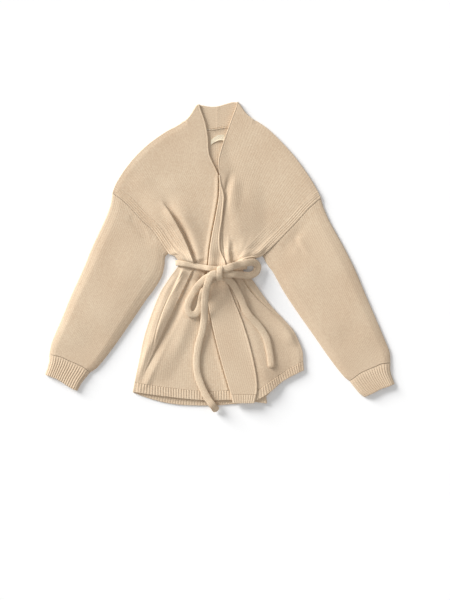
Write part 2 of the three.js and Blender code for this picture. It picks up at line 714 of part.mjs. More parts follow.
function hemBack() {
  const heights = { under: backUnder, seams: [0, 1] };
  return closedCloth([hemBand(panels.back, backColumns, backHemEdge, 400, heights)]);
}

function hemRight() {
  const heights = { under: rightUnder, seams: [0] };
  return closedCloth([hemBand(panels.right, rightColumns, rightHemEdge, 310, heights)]);
}

const marginRibs = 10;

function hemLeft() {
  const hidden = (p) => p.x < at(lip, "x", p.y) + beltClear;
  const heights = { under: leftUnder, seams: [1], hidden };
  const grid = hemBand(panels.left, leftColumns, leftHemEdge, 192, heights);
  const margin = bandRows.map((t, j) => {
    const turn = mix(spot(leftHem, 0), spot(leftHemEdge, 0), t);
    const seat = (x) => leftUnder(x, turn.y, turnedRim, 0) + wall + foldGap;
    const start = grid[j][0];
    start.face.x += turnInset.inside;
    start.lining.x += turnInset.outside;
    const ribs = ribSteps(marginRibs).slice(0, -1);
    return [...marginCells(turn, ribs.map((u) => 1 - u), seat, (t2, i) => (i % 2 ? ribHigh : 0)),
      start];
  });
  return closedCloth([grid, margin]);
}

function label() {
  const columns = [0, 0.2, 0.4, 0.6, 0.8, 1];
  const grid = ["yLow", "yTop"].map((side) => columns.map((u) => {
    const x = at(labelRows, "x", u);
    const y = at(labelRows, side, u);
    const under = wall + seamGap + at(labelRows, "rise", u);
    return vertex(x, y, under + labelThick, under);
  }));
  return closedCloth([grid]);
}

// Top of the cloth at a place, as the belt finds it
const byX = (rows) => rows.map((r) => ({ v: r.x, y: r.y }));
const lowRight = byX(rightHemEdge);
const lowBack = byX(backHemEdge);

function sideX(rows, y) {
  const below = rows.filter((r) => r.v <= 1.2);
  return at(below.map((r) => ({ v: r.y, x: r.x })), "x", y);
}

function clothTop(x, y) {
  const low = Math.min(at(lowRight, "y", x), at(lowBack, "y", x));
  if (y < low - 2 || x > sideX(leftSide, y) + 4 || x < sideX(rightSide, y) - 4) return 0;
  const turn = sideX(leftTurn, y);
  const rib = y < low + 40 ? ribHigh : 0;
  if (x >= turn - 1 && x <= at(lip, "x", y) + 1) return marginUnder(x, y) + wall + lipHigh + rib;
  if (x > turn) return leftOver(x, y, sideX(leftSide, y) - x, 0) + rib;
  return rightOver(x, y, x - sideX(rightSide, y), 0) + rib;
}

// Upper run of the pressed belt round the waist, from the right side to the left side
function waistRun() {
  const count = 13;
  const ends = { from: waistSides.right + 4, to: waistSides.left - 4 };
  const run = [];
  for (let i = 0; i <= count; i += 1) {
    const x = THREE.MathUtils.lerp(ends.from, ends.to, i / count);
    const y = at(beltLine, "y", x);
    const around = [-6, -3, 0, 3, 6].flatMap((dy) => [-4, 0, 4].map((dx) => [dx, dy]));
    const seat = Math.max(...around.map(([dx, dy]) => clothTop(x + dx, y + dy)));
    run.push(new THREE.Vector3(x, y, seat + beltClear + beltPressed / 2));
  }
  return run;
}

const waistTop = waistRun().map((p) => ({ v: p.x, z: p.z + beltPressed / 2 }));

// A length of belt: its oval section keeps level across, and is square to the knot where it meets it
function beltLength(rows, meets) {
  const spots = rows.map((r) => new THREE.Vector3(r.x, r.y, r.z));
  const run = new THREE.CatmullRomCurve3(spots, false, "centripetal");
  const steps = 2 * (rows.length - 1);
  const rings = Array.from({ length: steps + 1 }, (unused, i) => {
    const along = run.getTangent(i / steps);
    if (meets.includes(i / steps)) along.set(Math.sign(along.x), 0, 0);
    const side = new THREE.Vector3(-along.y, along.x, 0).normalize();
    const up = along.clone().cross(side).normalize();
    return Array.from({ length: beltSides }, (also, k) => {
      const angle = (k / beltSides) * 2 * Math.PI;
      return run.getPoint(i / steps)
        .addScaledVector(side, (Math.cos(angle) * beltWide) / 2)
        .addScaledVector(up, (Math.sin(angle) * beltThick) / 2);
    });
  });
  return closedLoft(rings, false);
}

// The pressed belt round the waist: under the back, up both sides and over the fronts
function beltWaist() {
  const half = beltPressed / 2;
  const from = waistSides.right - half - 0.6;
  const to = waistSides.left + half + 0.6;
  const onWaist = (x, z) => new THREE.Vector3(x, at(beltLine, "y", x), z);
  const spots = [
    ...waistRun(),
    onWaist(to - 0.6, 17), onWaist(to, 9), onWaist(to - 5, half), onWaist(-20, half),
    onWaist(from + 5, half), onWaist(from, 9), onWaist(from + 0.6, 17),
  ];
  const rings = spots.map((p, i) => {
    const before = spots[(i + spots.length - 1) % spots.length];
    const after = spots[(i + 1) % spots.length];
    const run = after.clone().sub(before).setY(0).normalize();
    const out = new THREE.Vector3(-run.z, 0, run.x);
    return roundedRing(8, 0.5).map(({ across, up }) => p.clone()
      .addScaledVector(out, up * half)
      .add(new THREE.Vector3(0, (across * beltPulled) / 2, 0)));
  });
  return closedLoft(rings, true);
}

// A ring between an oval and a rectangle: the smaller the power, the squarer it is
function roundedRing(count, power) {
  const soften = (value) => Math.sign(value) * Math.abs(value) ** power;
  return Array.from({ length: count }, (unused, k) => {
    const angle = ((k + 0.5) / count) * 2 * Math.PI;
    return { across: soften(Math.cos(angle)), up: soften(Math.sin(angle)) };
  });
}

// The knot: one turn of the belt over the crossing, a rounded lump whose lower half reaches
// down past the waist belt, so that the loops and ends meet its sides
const knotPlace = { x: 0.9, y: -44.6, wide: 15, long: 40, high: 15.4 };
const knotRows = table(
  ["v", "wide", "low", "high"],
  [0, 0.66, -0.3, 0.42], [0.08, 0.92, -0.46, 0.7], [0.22, 1, -0.48, 0.9], [0.44, 1, -0.44, 1],
  [0.53, 1, 0, 1], [0.78, 1.04, 0, 0.95], [0.92, 0.94, 0.08, 0.8], [1, 0.66, 0.28, 0.58],
);

function beltKnot() {
  const seat = Math.max(...[-8, 0, 8].map((dx) => at(waistTop, "z", knotPlace.x + dx))) + beltClear;
  const rings = knotRows.map((row) => {
    const y = knotPlace.y + (row.v - 0.5) * knotPlace.long;
    const middle = seat + ((row.low + row.high) / 2) * knotPlace.high;
    const half = ((row.high - row.low) / 2) * knotPlace.high;
    return roundedRing(12, 0.6).map(({ across, up }) => new THREE.Vector3(
      knotPlace.x + (across * row.wide * knotPlace.wide) / 2, y, middle + up * half));
  });
  return closedLoft(rings, false);
}

const cardigan = new THREE.Group();
cardigan.add(
  knit("back", back(), -0.02),
  knit("front_right", frontRight()),
  knit("front_left", frontLeft()),
  knit("sleeve_right", sleeve(rightSide, rightSleeveOuter, rightSleeveInner, rightCuffLine,
    rightSleeveFolds)),
  knit("sleeve_left", sleeve(leftSide, leftSleeveOuter, leftSleeveInner, leftCuffLine,
    leftSleeveFolds)),
  knit("cuff_right", cuff(rightCuffLine, rightCuffEdge, rightCuffOuter, rightCuffInner), 0.02),
  knit("cuff_left", cuff(leftCuffLine, leftCuffEdge, leftCuffOuter, leftCuffInner), 0.02),
  knit("hem_back", hemBack(), -0.01),
  knit("hem_right", hemRight(), 0.02),
  knit("hem_left", hemLeft(), 0.02),
  knit("label", label(), 0.06),
  knit("belt_waist", beltWaist(), 0.03),
  knit("belt_knot", beltKnot(), 0.03),
  knit("belt_loop_right", beltLength(rightLoopRoute, [0, 1]), 0.03),
  knit("belt_loop_left", beltLength(leftLoopRoute, [0, 1]), 0.03),
  knit("belt_end_right", beltLength(rightEndRoute, [0]), 0.03),
  knit("belt_end_left", beltLength(leftEndRoute, [0]), 0.03),
);

// The model is drawn about the waist; this puts its middle over the origin
cardigan.position.set(-1.5, 1.2, 0);

export default cardigan;
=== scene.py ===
import math
import bpy
import numpy as np
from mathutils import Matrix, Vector


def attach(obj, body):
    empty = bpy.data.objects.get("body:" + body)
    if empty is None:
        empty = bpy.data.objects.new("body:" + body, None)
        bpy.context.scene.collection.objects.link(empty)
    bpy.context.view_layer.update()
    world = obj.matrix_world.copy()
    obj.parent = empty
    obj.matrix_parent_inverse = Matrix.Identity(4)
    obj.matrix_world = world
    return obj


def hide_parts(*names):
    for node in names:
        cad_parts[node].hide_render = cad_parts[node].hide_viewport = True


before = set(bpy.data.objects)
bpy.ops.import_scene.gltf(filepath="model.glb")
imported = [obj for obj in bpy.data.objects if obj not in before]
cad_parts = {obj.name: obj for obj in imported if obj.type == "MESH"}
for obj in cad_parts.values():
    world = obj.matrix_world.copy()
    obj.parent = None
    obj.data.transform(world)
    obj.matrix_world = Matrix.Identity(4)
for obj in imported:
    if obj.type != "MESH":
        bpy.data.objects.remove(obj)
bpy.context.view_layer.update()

# A knitted kimono cardigan tied with its own belt, lying on its back on a pale surface.
# Sizes are in millimetres in the drawing below and become metres when a mesh is made.
# Right and left are the wearer's. Tables have named columns and a row for each section.
# drawn_from moves the drawing to where the solids stand.
drawn_from = np.array([-1.5, 1.2, 0.0])
mm = 0.001

# Walls and clearances. A soft fold leaves at least fold_wall of the cloth, a crease crease_wall.
wall = 3
seam_gap = 0.3
layer_gap = 1.6
fold_gap = 0.8
fold_wall = 2
crease_wall = 0.4

# Edges are half round over edge_round, and over the share seam_round of it where they are sewn to
# a neighbour. no_edge is the distance given where the cloth goes on.
edge_round = 1.1
seam_round = 0.25
no_edge = 99

# Belt, its knit and its knot
belt_wide = 17
belt_thick = 5.6
belt_pulled = 13
belt_pressed = 4.6
belt_clear = 0.6
belt_sides = 24
belt_wales = 14
belt_course = 3.2
tip_round = 8
knot_thick = 5.2
knot_middle = [1, -45, 38]

# Gathers at the waist, where the belt under the back lifts the cloth
gather_reach = 85
squeeze_reach = 24
gather_wall = 1.8
pleat_count = 5
pleat_lift = 1.6
pleat_high = 2.4
waist_sides = {"left": 60, "right": -97, "spread": 0.55}
belt_lift = {"reach": 34, "over": 24}

# Distances in from a side seam over which the layers part, gathers rise and folds begin
rim_reach = 12
rim_rise = 3
gather_rim = 14
relief_rim = 16
relief_start = 2
relief_share = 0.7
lifted_by_folds = {"share": 0.5, "most": 2}
crease_waist = 15

# The left front rides up over the hidden edge of the right one, and the belt presses it there
ride = {"before": 20, "over": 13, "soft_from": 30, "soft": 30, "lip": 24}
pressed_lap = {"share": 0.6, "before": 16, "over": 14}

# Turned-back margin of the left front, and the collar, which turns over the neck's outline
fold_round = 1.6
margin_rim = 40
margin_ribs = 10
margin_wale = 5
turn_round = 2.6
turn_least = 0.4
neck_centre = np.array([-2.0, 318.0])
collar_back = 172
collar_seam_high = 0.3

# Folded sides of the sleeves and cuffs, and the ribs of the cuffs and hem bands
side_round = 8
rib_pitch = 6.2
rib_high = 0.9
band_deep = 22

# Lip and groove along a free edge
lip_high = 0.9
lip_wide = 3.4
groove_deep = 0.6

# Ribs beside the armhole by their distance from it, and the heights (v) between which they fade
ridge_high = {"right": 1.4, "left": 0.35}
ridge_places = [3.4, 8.2, 13, 17.8]
ridge_wide = 2.3
ridge_fade = {"low": 1.0, "low_over": 0.08, "low_share": 0.3, "high": 1.14, "high_over": 0.1}
band_places = [27, 31.8, 36.6, 41.4]
band_fade = {"low": 1.03, "low_over": 0.1, "high": 1.62, "high_over": 0.25}

# Rib along the neck seam of the back, between two shares of its width
neck_rib = {"from": 0.3, "to": 0.7, "over": 0.04, "high": 0.9, "in": 2, "wide": 4}

# Knit: columns of stitches across each piece, and the height of one stitch. The real ones are too
# fine to show in the picture, so they are drawn as coarse as they need to show.
wales = {"back": 78, "right": 58, "left": 48, "sleeve": 36}
course = 4.2

# Columns and rows of the meshes
back_grid = {"columns": 110, "rows": 120}
front_grid = {"right": 128, "left": 120, "beside_armhole": 44, "rows": 200}
margin_columns = {"front": 26, "hem": 90}
sleeve_grid = {"columns": 80, "rows": 150}
cuff_grid = {"per_rib": 10, "rows": 16}
hem_grid = {"per_rib": 8, "rows": 14}
turn_angles = 9


def table(columns, *rows):
    return [dict(zip(columns, row)) for row in rows]


def edge(*rows):
    return table(["v", "x", "y"], *rows)


# Side edges of the body from the hem (v 0) by the waist (v 1) and underarm to the shoulder end (v 2)
underarm = 1.22
# The lines near the waist are read from the rows up to near_waist
near_waist = 1.2
right_side = edge(
    [0, -199, -303], [0.17, -188, -251], [0.35, -177, -199], [0.53, -160, -145], [0.7, -139, -94],
    [0.83, -118, -60], [0.94, -101, -37], [1, -94, -26], [1.05, -98, -15], [1.13, -106, -6],
    [1.22, -119, -1], [1.43, -155, 51], [1.58, -181, 76], [1.71, -201, 98], [1.82, -217, 115],
    [1.94, -239, 133], [2, -251, 141],
)
left_side = edge(
    [0, 197, -253], [0.08, 196, -232], [0.17, 188, -209], [0.29, 173, -180], [0.43, 148, -152],
    [0.58, 122, -124], [0.71, 101, -96], [0.84, 80, -66], [0.93, 63, -50], [0.97, 57, -42],
    [1, 56, -34], [1.04, 58, -26], [1.08, 66, -20], [1.14, 84, -13], [1.22, 102, -6],
    [1.37, 130, 20], [1.6, 169, 59],
    [1.74, 192, 84], [1.85, 210, 104], [1.95, 229, 121], [2, 239, 129],
)

# Free edge of the right front, which passes under the left front, up to the collar tip
right_free = edge(
    [0, 110, -331], [0.27, 91, -251], [0.58, 63, -157], [0.83, 39, -86], [1, 25, -40],
    [1.11, 28, 8], [1.23, 25, 55], [1.37, 18, 113], [1.48, 9, 153], [1.55, 0, 181],
    [1.62, -11, 205], [1.69, -22, 229], [1.73, -25, 247], [1.79, -26, 271], [1.89, -33, 308],
    [2, -48, 350],
)

# Inner side of the left front: the line where its margin turns back, then its own free edge
left_turn = edge(
    [0, 27, -331], [0.27, 4, -251], [0.48, -12, -188], [0.69, -25, -124], [0.85, -29, -75],
    [1, -27, -40], [1.1, -22.5, 8], [1.19, -17, 43], [1.32, -8, 90], [1.43, -1, 132],
    [1.5, 0.5, 165], [1.55, -0.5, 191], [1.65, -2, 219], [1.72, 5, 247], [1.81, 16, 280],
    [1.88, 26, 308], [2, 44, 356],
)

# Free edge of the turned-back margin, by height
lip = table(
    ["v", "x"],
    [-360, 80], [-321, 89], [-279, 86], [-216, 72], [-164, 56], [-110, 35], [-72, 21],
    [-23, 15], [8, 3], [43, 2], [78, 7], [118, 11], [144, 12], [165, 9.5], [182, 7],
)
margin_top = 1.54

# Waist, belt, hem, shoulder, neck and collar lines across the body
waist_line = table(["v", "y"], [-97, -23], [-50, -36], [-18, -40], [20, -40], [60, -33])
belt_line = table(["v", "y"], [-97, -23], [-67, -28], [-20, -36.5], [20, -38], [60, -32])
right_hem = edge(
    [0, -199, -303], [0.19, -139, -313], [0.385, -80, -320], [0.57, -22, -324], [0.72, 25, -322],
    [0.88, 72, -326], [1, 110, -331],
)
right_hem_edge = edge(
    [0, -203, -326], [0.19, -139, -335], [0.385, -80, -342], [0.57, -22, -346], [0.72, 25, -345],
    [0.88, 72, -348], [1, 112, -353],
)
left_hem = edge(
    [0, 27, -331], [0.06, 38, -331.5], [0.33, 89, -321], [0.49, 115, -303], [0.67, 143, -284],
    [0.84, 171, -267], [1, 197, -253],
)
left_hem_edge = edge(
    [0, 32, -352], [0.33, 89, -344], [0.49, 121, -325], [0.67, 148, -302], [0.84, 176, -286],
    [1, 199, -275],
)
back_hem = edge(
    [0, -199, -303], [0.07, -172, -315], [0.17, -130, -327], [0.27, -90, -333],
    [0.38, -45, -336], [0.49, 2, -335], [0.58, 37, -332], [0.66, 70, -328], [0.74, 97, -313],
    [0.82, 124, -291], [0.91, 160, -269], [1, 197, -253],
)
back_hem_edge = edge(
    [0, -203, -327], [0.07, -174, -338], [0.17, -132, -350], [0.27, -92, -356],
    [0.38, -45, -358], [0.49, 2, -357], [0.58, 37, -354], [0.66, 75, -350], [0.74, 108, -338],
    [0.82, 136, -310], [0.91, 168, -289], [1, 198, -274],
)
right_neck_at = 0.75
right_shoulder = edge(
    [0, -251, 141], [0.054, -245, 158], [0.127, -233, 179], [0.203, -219, 200],
    [0.311, -196, 228], [0.439, -165, 257], [0.587, -125, 285], [0.677, -99, 299],
    [0.75, -79, 312], [0.81, -68, 325], [0.88, -60, 338], [0.94, -54, 347], [1, -48, 350],
)
left_neck_at = 0.25
left_shoulder = edge(
    [0, 44, 356], [0.06, 49, 349], [0.13, 57, 337], [0.19, 67, 325], [0.25, 83, 312],
    [0.327, 105, 299], [0.395, 122, 285], [0.518, 150, 257], [0.637, 176, 228],
    [0.745, 197, 200], [0.85, 216, 172], [0.948, 232, 144], [1, 239, 129],
)
neck_seam = edge(
    [0, -79, 312], [0.17, -55, 298], [0.33, -29, 289], [0.5, -2, 292.5], [0.66, 25, 297],
    [0.83, 54, 303], [1, 83, 312],
)
collar_top = edge(
    [0, -48, 350], [0.18, -35, 346.5], [0.36, -18, 344], [0.5, -2, 345.5], [0.68, 15, 350.5],
    [0.85, 32, 355], [1, 44, 356],
)
back_neck = {"from": 0.33, "to": 0.67}

# Steps of a collar half from its front to the centre back, as shares of the collar's whole back
collar_steps = np.concatenate([np.linspace(0, 0.44, 24),
                               0.5 - 0.06 * np.array([0.6, 0.35, 0.15, 0.05, 0])])

# Sleeves: outer and inner fold from the armhole (v 0) to the cuff (v 1), and the cuffs
right_sleeve_outer = edge(
    [0, -251, 141], [0.04, -253, 125], [0.1, -259, 102], [0.17, -271, 73], [0.32, -297, 17],
    [0.47, -320, -39], [0.62, -346, -96], [0.77, -369, -152], [0.92, -393, -209], [1, -399, -238],
)
right_sleeve_inner = edge(
    [0, -119, -1], [0.054, -127, -9], [0.12, -129, -30], [0.19, -135, -54], [0.28, -151, -82],
    [0.38, -172, -110], [0.57, -210, -166], [0.77, -250, -223], [0.94, -286, -268], [1, -303, -280],
)
right_cuff_line = edge(
    [0, -303, -280], [0.2, -320, -267], [0.38, -337, -259], [0.55, -354, -252],
    [0.73, -371, -244], [1, -399, -238],
)
right_cuff_edge = edge(
    [0, -333, -323], [0.13, -342, -320], [0.35, -360, -309], [0.6, -379, -297], [1, -409, -285],
)
right_cuff_outer = edge([0, -399, -238], [0.4, -400, -256], [1, -409, -285])
right_cuff_inner = edge([0, -303, -280], [0.35, -313, -292], [0.7, -324, -306], [1, -333, -323])
left_sleeve_outer = edge(
    [0, 239, 129], [0.03, 242, 116], [0.066, 247, 102], [0.14, 260, 73], [0.29, 291, 17],
    [0.44, 319, -39], [0.59, 343, -96], [0.73, 367, -152], [0.88, 391, -209], [0.94, 400, -232],
    [1, 402, -258],
)
left_sleeve_inner = edge(
    [0, 102, -6], [0.06, 113, -27], [0.13, 127, -46], [0.2, 140, -70], [0.28, 155, -96],
    [0.42, 183, -138], [0.62, 223, -195], [0.8, 260, -248], [0.95, 293, -290], [1, 306, -300],
)
left_cuff_line = edge(
    [0, 306, -300], [0.1, 315, -294], [0.3, 331, -282], [0.48, 348, -274], [0.66, 365, -267],
    [0.83, 382, -260], [1, 402, -258],
)
left_cuff_edge = edge(
    [0, 341, -338], [0.25, 361, -329], [0.5, 378, -320], [0.75, 395, -314], [1, 412, -307],
)
left_cuff_outer = edge([0, 402, -258], [0.4, 402, -277], [0.7, 406, -291], [1, 412, -307])
left_cuff_inner = edge([0, 306, -300], [0.3, 314, -311], [0.7, 330, -330], [1, 341, -338])


# Folds and creases from a to c by b: half width, and height above the plain cloth
def fold(*rows):
    return table(["xa", "ya", "xb", "yb", "xc", "yc", "wide", "high"], *rows)


right_folds = fold(
    [-181, 158, -127, 73, -66, -8, 18, 3.6],
    [-121, 100, -88, 46, -58, -14, 13, -4.4],
    [-112, 140, -66, 60, -42, -4, 24, 3.2],
    [-122, 14, -95, -4, -62, -20, 9, 2.4],
    [-98, -58, -142, -170, -184, -290, 18, 4.2],
    [-60, -47, -112, -153, -186, -300, 10, -4.2],
    [-38, -60, -88, -150, -140, -260, 24, 2.8],
)
left_folds = fold(
    [12, 176, 16, 96, 27, 20, 13, -3],
    [46, 190, 56, 90, 50, 16, 30, 3.8],
    [20, 36, 28, 12, 32, -22, 7, -3.6],
    [96, 2, 70, -7, 38, -18, 9, 2.6],
    [72, -56, 122, -116, 172, -190, 17, 3.6],
    [44, -66, 84, -160, 122, -256, 26, 2.4],
)
right_sleeve_folds = fold(
    [-210, 94, -186, 62, -165, 36, 14, -1.6],
    [-178, 20, -214, -60, -262, -150, 34, 2],
    [-270, 40, -308, -60, -350, -170, 34, 1.8],
)
left_sleeve_folds = fold(
    [196, 74, 172, 40, 160, 16, 14, -1.4],
    [166, 8, 214, -80, 262, -160, 34, 2],
    [258, 40, 306, -60, 350, -170, 34, 1.8],
)


# Belt routes from the knot over the cloth, as the middle line of the belt
def route(*rows):
    return table(["x", "y", "z"], *rows)


right_end_route = route(
    [-7.1, -49, 46], [-17, -51, 45.8], [-24, -63, 44.8], [-28, -76, 43.2], [-32, -96, 35.2],
    [-34, -122, 27.6], [-35, -150, 17], [-39, -180, 13.8], [-48, -214, 12.2], [-53, -249, 11.4],
    [-51, -282, 11.6], [-41, -312, 13.4], [-27, -340, 15.4], [-14, -358, 15.6], [-5, -371, 3.2],
)
left_end_route = route(
    [8.9, -57, 32.6], [18, -60, 32.8], [30, -71, 28.4], [42, -90, 21.4], [52, -110, 19.2],
    [60, -130, 18.4], [71, -147, 18.2], [92, -170, 15.6], [109, -196, 14], [117, -226, 14],
    [121, -251, 14], [122, -270, 14],
)
right_loop_route = route(
    [-7.1, -53, 40], [-17, -54, 39], [-31, -60, 38.2], [-44, -71, 33.2], [-56, -87, 18],
    [-68, -108, 15.6], [-74, -128, 14.6], [-68, -142, 14.4], [-56, -143, 13.4], [-47, -131, 13.2],
    [-42, -112, 14.6], [-37, -92, 26], [-28, -75, 30.4], [-17, -63, 33.2], [-7.1, -62, 34],
)
left_loop_route = route(
    [8.9, -38, 42.8], [18, -36.5, 42.8], [30, -32, 41.2], [47, -27, 30.2], [66, -22.5, 24.8],
    [81, -22, 17.6], [90, -31, 11], [86, -44.5, 11], [74, -52, 16.6], [57, -52, 22.6],
    [37, -50, 36], [20, -49, 38.4], [8.9, -49, 38.2],
)

# The knot: a turn of the belt over a small core where the loops and ends meet
knot_arch = table(
    ["x", "y", "z", "wide"],
    [-0.5, -60, 30, 11], [-0.5, -63, 34.5, 13], [0, -61.5, 41, 14.5], [0.4, -56, 46, 15],
    [0.8, -48, 48.4, 14.5], [1.2, -41, 48, 14.5], [2, -35.5, 45.8, 14.5], [3, -33, 42, 14],
    [3.4, -33.6, 38.8, 12],
)
knot_core = table(
    ["y", "wide", "low", "high"],
    [-59, 6, 31, 40], [-56, 11, 29, 45], [-46, 13, 30, 46.5], [-40, 13, 36, 46],
    [-36, 11, 36, 44], [-34, 6, 38, 42],
)
knot_core_x = 0.9

# Label on the back's inner face under the neck seam, a short curled band
label_rows = table(
    ["v", "x", "y_top", "y_low", "rise"],
    [0, -20, 265, 254, 0.1], [0.3, -10, 273, 261, 0.6], [0.6, 0, 278, 265, 0.6], [1, 13, 277, 264, 0],
)
label_thick = 0.8

# Row of stitches along the middle of the neck seam
neck_stitched = {"from": -79, "wide": 163, "above": 0.6, "z": 4.6, "places": (-30, -15, 0, 14, 27)}


# Deep creases along a path from a to c by b. One side falls softly over its width, the other is
# a sharp edge with a raised back. Lean is 1 where the sharp side is on the left of the path.
def crease(*rows):
    return table(["xa", "ya", "xb", "yb", "xc", "yc", "lean", "soft", "sharp", "back", "deep",
                  "high", "start", "end"], *rows)


right_creases = crease(
    [-138, 128, -92, 58, -57, -26, -1, 20, 1.8, 26, 3.4, 11, 0.42, 0.02],
    [-136, 128, -90, 58, -55, -26, 1, 1, 11, 34, 0, 4.6, 0.45, 0.05],
    [-151, 66, -104, 17, -62, -22, -1, 9, 7, 14, 1.0, 2.0, 0.3, 0.05],
    [-58, -34, -100, -122, -184, -300, -1, 5.5, 1.2, 26, 2.6, 3.4, 0.05, 0.3],
    [-78, -40, -130, -130, -156, -232, 1, 3, 1.6, 9, 1.0, 0.8, 0.2, 0.2],
    [-90, -36, -104, -70, -136, -130, 1, 12, 5, 10, 2.0, 1.4, 0.15, 0.6],
    [-30, -36, -36, -64, -46, -100, -1, 8, 2, 8, 2.0, 1.4, 0.1, 0.6],
    [-84, -112, -104, -178, -140, -262, 1, 22, 26, 20, 2.2, 0.8, 0.3, 0.4],
)
left_creases = crease(
    [22, 182, 6, 84, 15, -30, -1, 7, 1.6, 5, 1.8, 0.6, 0.3, 0.01],
    [34, 204, 15, 140, 12, 70, 1, 10, 16, 26, 2.0, 2.0, 0.4, 0.5],
    [44, 52, 33, 14, 34, -28, 1, 11, 26, 20, 2.6, 0.8, 0.6, 0.02],
    [20, 60, 16, 12, 24, -28, 1, 5, 5, 6, 0, 2.4, 0.8, 0.02],
    [100, -6, 62, -10, 32, -26, 1, 6, 3, 8, 1.2, 2.2, 0.2, 0.05],
    [44, -36, 82, -98, 150, -154, -1, 5, 2, 16, 2.2, 3.2, 0.05, 0.5],
    [26, -50, 42, -104, 56, -156, -1, 8, 1.6, 8, 2.4, 1.2, 0.05, 0.5],
)
right_sleeve_creases = crease(
    [-209, 96, -186, 64, -166, 22, 1, 14, 10, 16, 1.2, 1.2, 0.3, 0.3],
)
left_sleeve_creases = crease(
    [175, 40, 186, 16, 212, -14, 1, 12, 10, 16, 1.0, 1.0, 0.3, 0.4],
)

# The right front dips beside the strip where the left front is folded back, up to a height
strip_dip = {"soft": 5, "sharp": 1.6, "back": 10, "deep": 2.4, "high": 2.0}
strip_place = {"highest": 1.7, "in": 1.2, "top": 190, "over": 24, "below_belt": 0.55}

# The same lines, folds and creases by side
body_side = {"right": right_side, "left": left_side}
sleeve_outer = {"right": right_sleeve_outer, "left": left_sleeve_outer}
sleeve_inner = {"right": right_sleeve_inner, "left": left_sleeve_inner}
sleeve_folds = {"right": right_sleeve_folds, "left": left_sleeve_folds}
sleeve_creases = {"right": right_sleeve_creases, "left": left_sleeve_creases}
cuff_line = {"right": right_cuff_line, "left": left_cuff_line}
cuff_edge = {"right": right_cuff_edge, "left": left_cuff_edge}
cuff_outer = {"right": right_cuff_outer, "left": left_cuff_outer}
cuff_inner = {"right": right_cuff_inner, "left": left_cuff_inner}


def at(rows, column, place):
    """Value of a column at place v, smooth through the rows."""
    v = np.array([row["v"] for row in rows], float)
    y = np.array([row[column] for row in rows], float)
    last = len(v) - 1
    before = np.maximum(np.arange(last + 1) - 1, 0)
    after = np.minimum(np.arange(last + 1) + 1, last)
    slope = (y[after] - y[before]) / (v[after] - v[before])
    place = np.clip(place, v[0], v[-1])
    i = np.clip(np.searchsorted(v, place) - 1, 0, last - 1)
    span = v[i + 1] - v[i]
    t = (place - v[i]) / span
    return ((2 * t**3 - 3 * t**2 + 1) * y[i] + (t**3 - 2 * t**2 + t) * span * slope[i]
            + (3 * t**2 - 2 * t**3) * y[i + 1] + (t**3 - t**2) * span * slope[i + 1])


def spot(rows, v):
    return np.stack([at(rows, "x", v), at(rows, "y", v)], -1)


def mix(a, b, t):
    return a + (b - a) * t


def ease(t):
    t = np.clip(t, 0, 1)
    return t * t * (3 - 2 * t)


def bump(t):
    return np.clip(1 - np.square(t), 0, None) ** 2


def apart(p, q):
    return np.linalg.norm(p - q, axis=-1)


def patch(sides, low, high, across, up, v):
    """Point of a four-sided patch of cloth between its two sides and its lower and upper lines."""
    def bulge(line):
        first, last = line(np.zeros_like(across)), line(np.ones_like(across))
        return line(across) - mix(first, last, across[..., None])
    plain = mix(spot(sides["from"], v), spot(sides["to"], v), across[..., None])
    return plain + bulge(low) * (1 - up[..., None]) + bulge(high) * up[..., None]


def line_of(rows):
    return lambda u: spot(rows, u)


def shoulder_part(rows, start, end):
    return [{**row, "v": start + row["v"] * (end - start)} for row in rows]


back_top = [
    *shoulder_part([r for r in right_shoulder if r["v"] < right_neck_at], 0,
                   back_neck["from"] / right_neck_at),
    *shoulder_part(neck_seam, back_neck["from"], back_neck["to"]),
    *[{**r, "v": back_neck["to"] + (r["v"] - left_neck_at) / (1 - left_neck_at)
       * (1 - back_neck["to"])} for r in left_shoulder if r["v"] > left_neck_at],
]
panels = {
    "back": {"from": right_side, "to": left_side, "hem": back_hem, "top": back_top},
    "right": {"from": right_side, "to": right_free, "hem": right_hem, "top": right_shoulder},
    "left": {"from": left_turn, "to": left_side, "hem": left_hem, "top": left_shoulder},
}


def body_point(panel, across, v):
    """A body panel: its lower half reaches from the hem to the waist, its upper half to the shoulder."""
    across, v = np.broadcast_arrays(np.asarray(across, float), np.asarray(v, float))

    def waist(u):
        x = mix(at(panel["from"], "x", 1), at(panel["to"], "x", 1), u)
        return np.stack([x, at(waist_line, "y", x)], -1)
    lower = patch(panel, line_of(panel["hem"]), waist, across, np.clip(v, 0, 1), v)
    upper = patch(panel, waist, line_of(panel["top"]), across, np.clip(v - 1, 0, 1), v)
    return np.where((v < 1)[..., None], lower, upper)


def armhole_at(step):
    return underarm + step * (2 - underarm)


# How near a place is to the tied waist, and the gathers that run out from it
def from_waist(x, y):
    return y - at(waist_line, "y", x)


def gathered(x, y):
    return bump(from_waist(x, y) / gather_reach)


def squeezed(x, y):
    return bump(from_waist(x, y) / squeeze_reach)


def belt_lifted(x, y):
    """How far the belt under the back lifts the cloth."""
    near = ease((belt_lift["reach"] - abs(from_waist(x, y))) / belt_lift["over"])
    return (belt_pressed + belt_clear) * near


def pleat(x, y):
    spread = waist_sides["spread"] * abs(from_waist(x, y))
    start = waist_sides["right"] - spread
    end = waist_sides["left"] + spread
    return 0.5 - 0.5 * np.cos(2 * np.pi * pleat_count * ((x - start) / (end - start)))


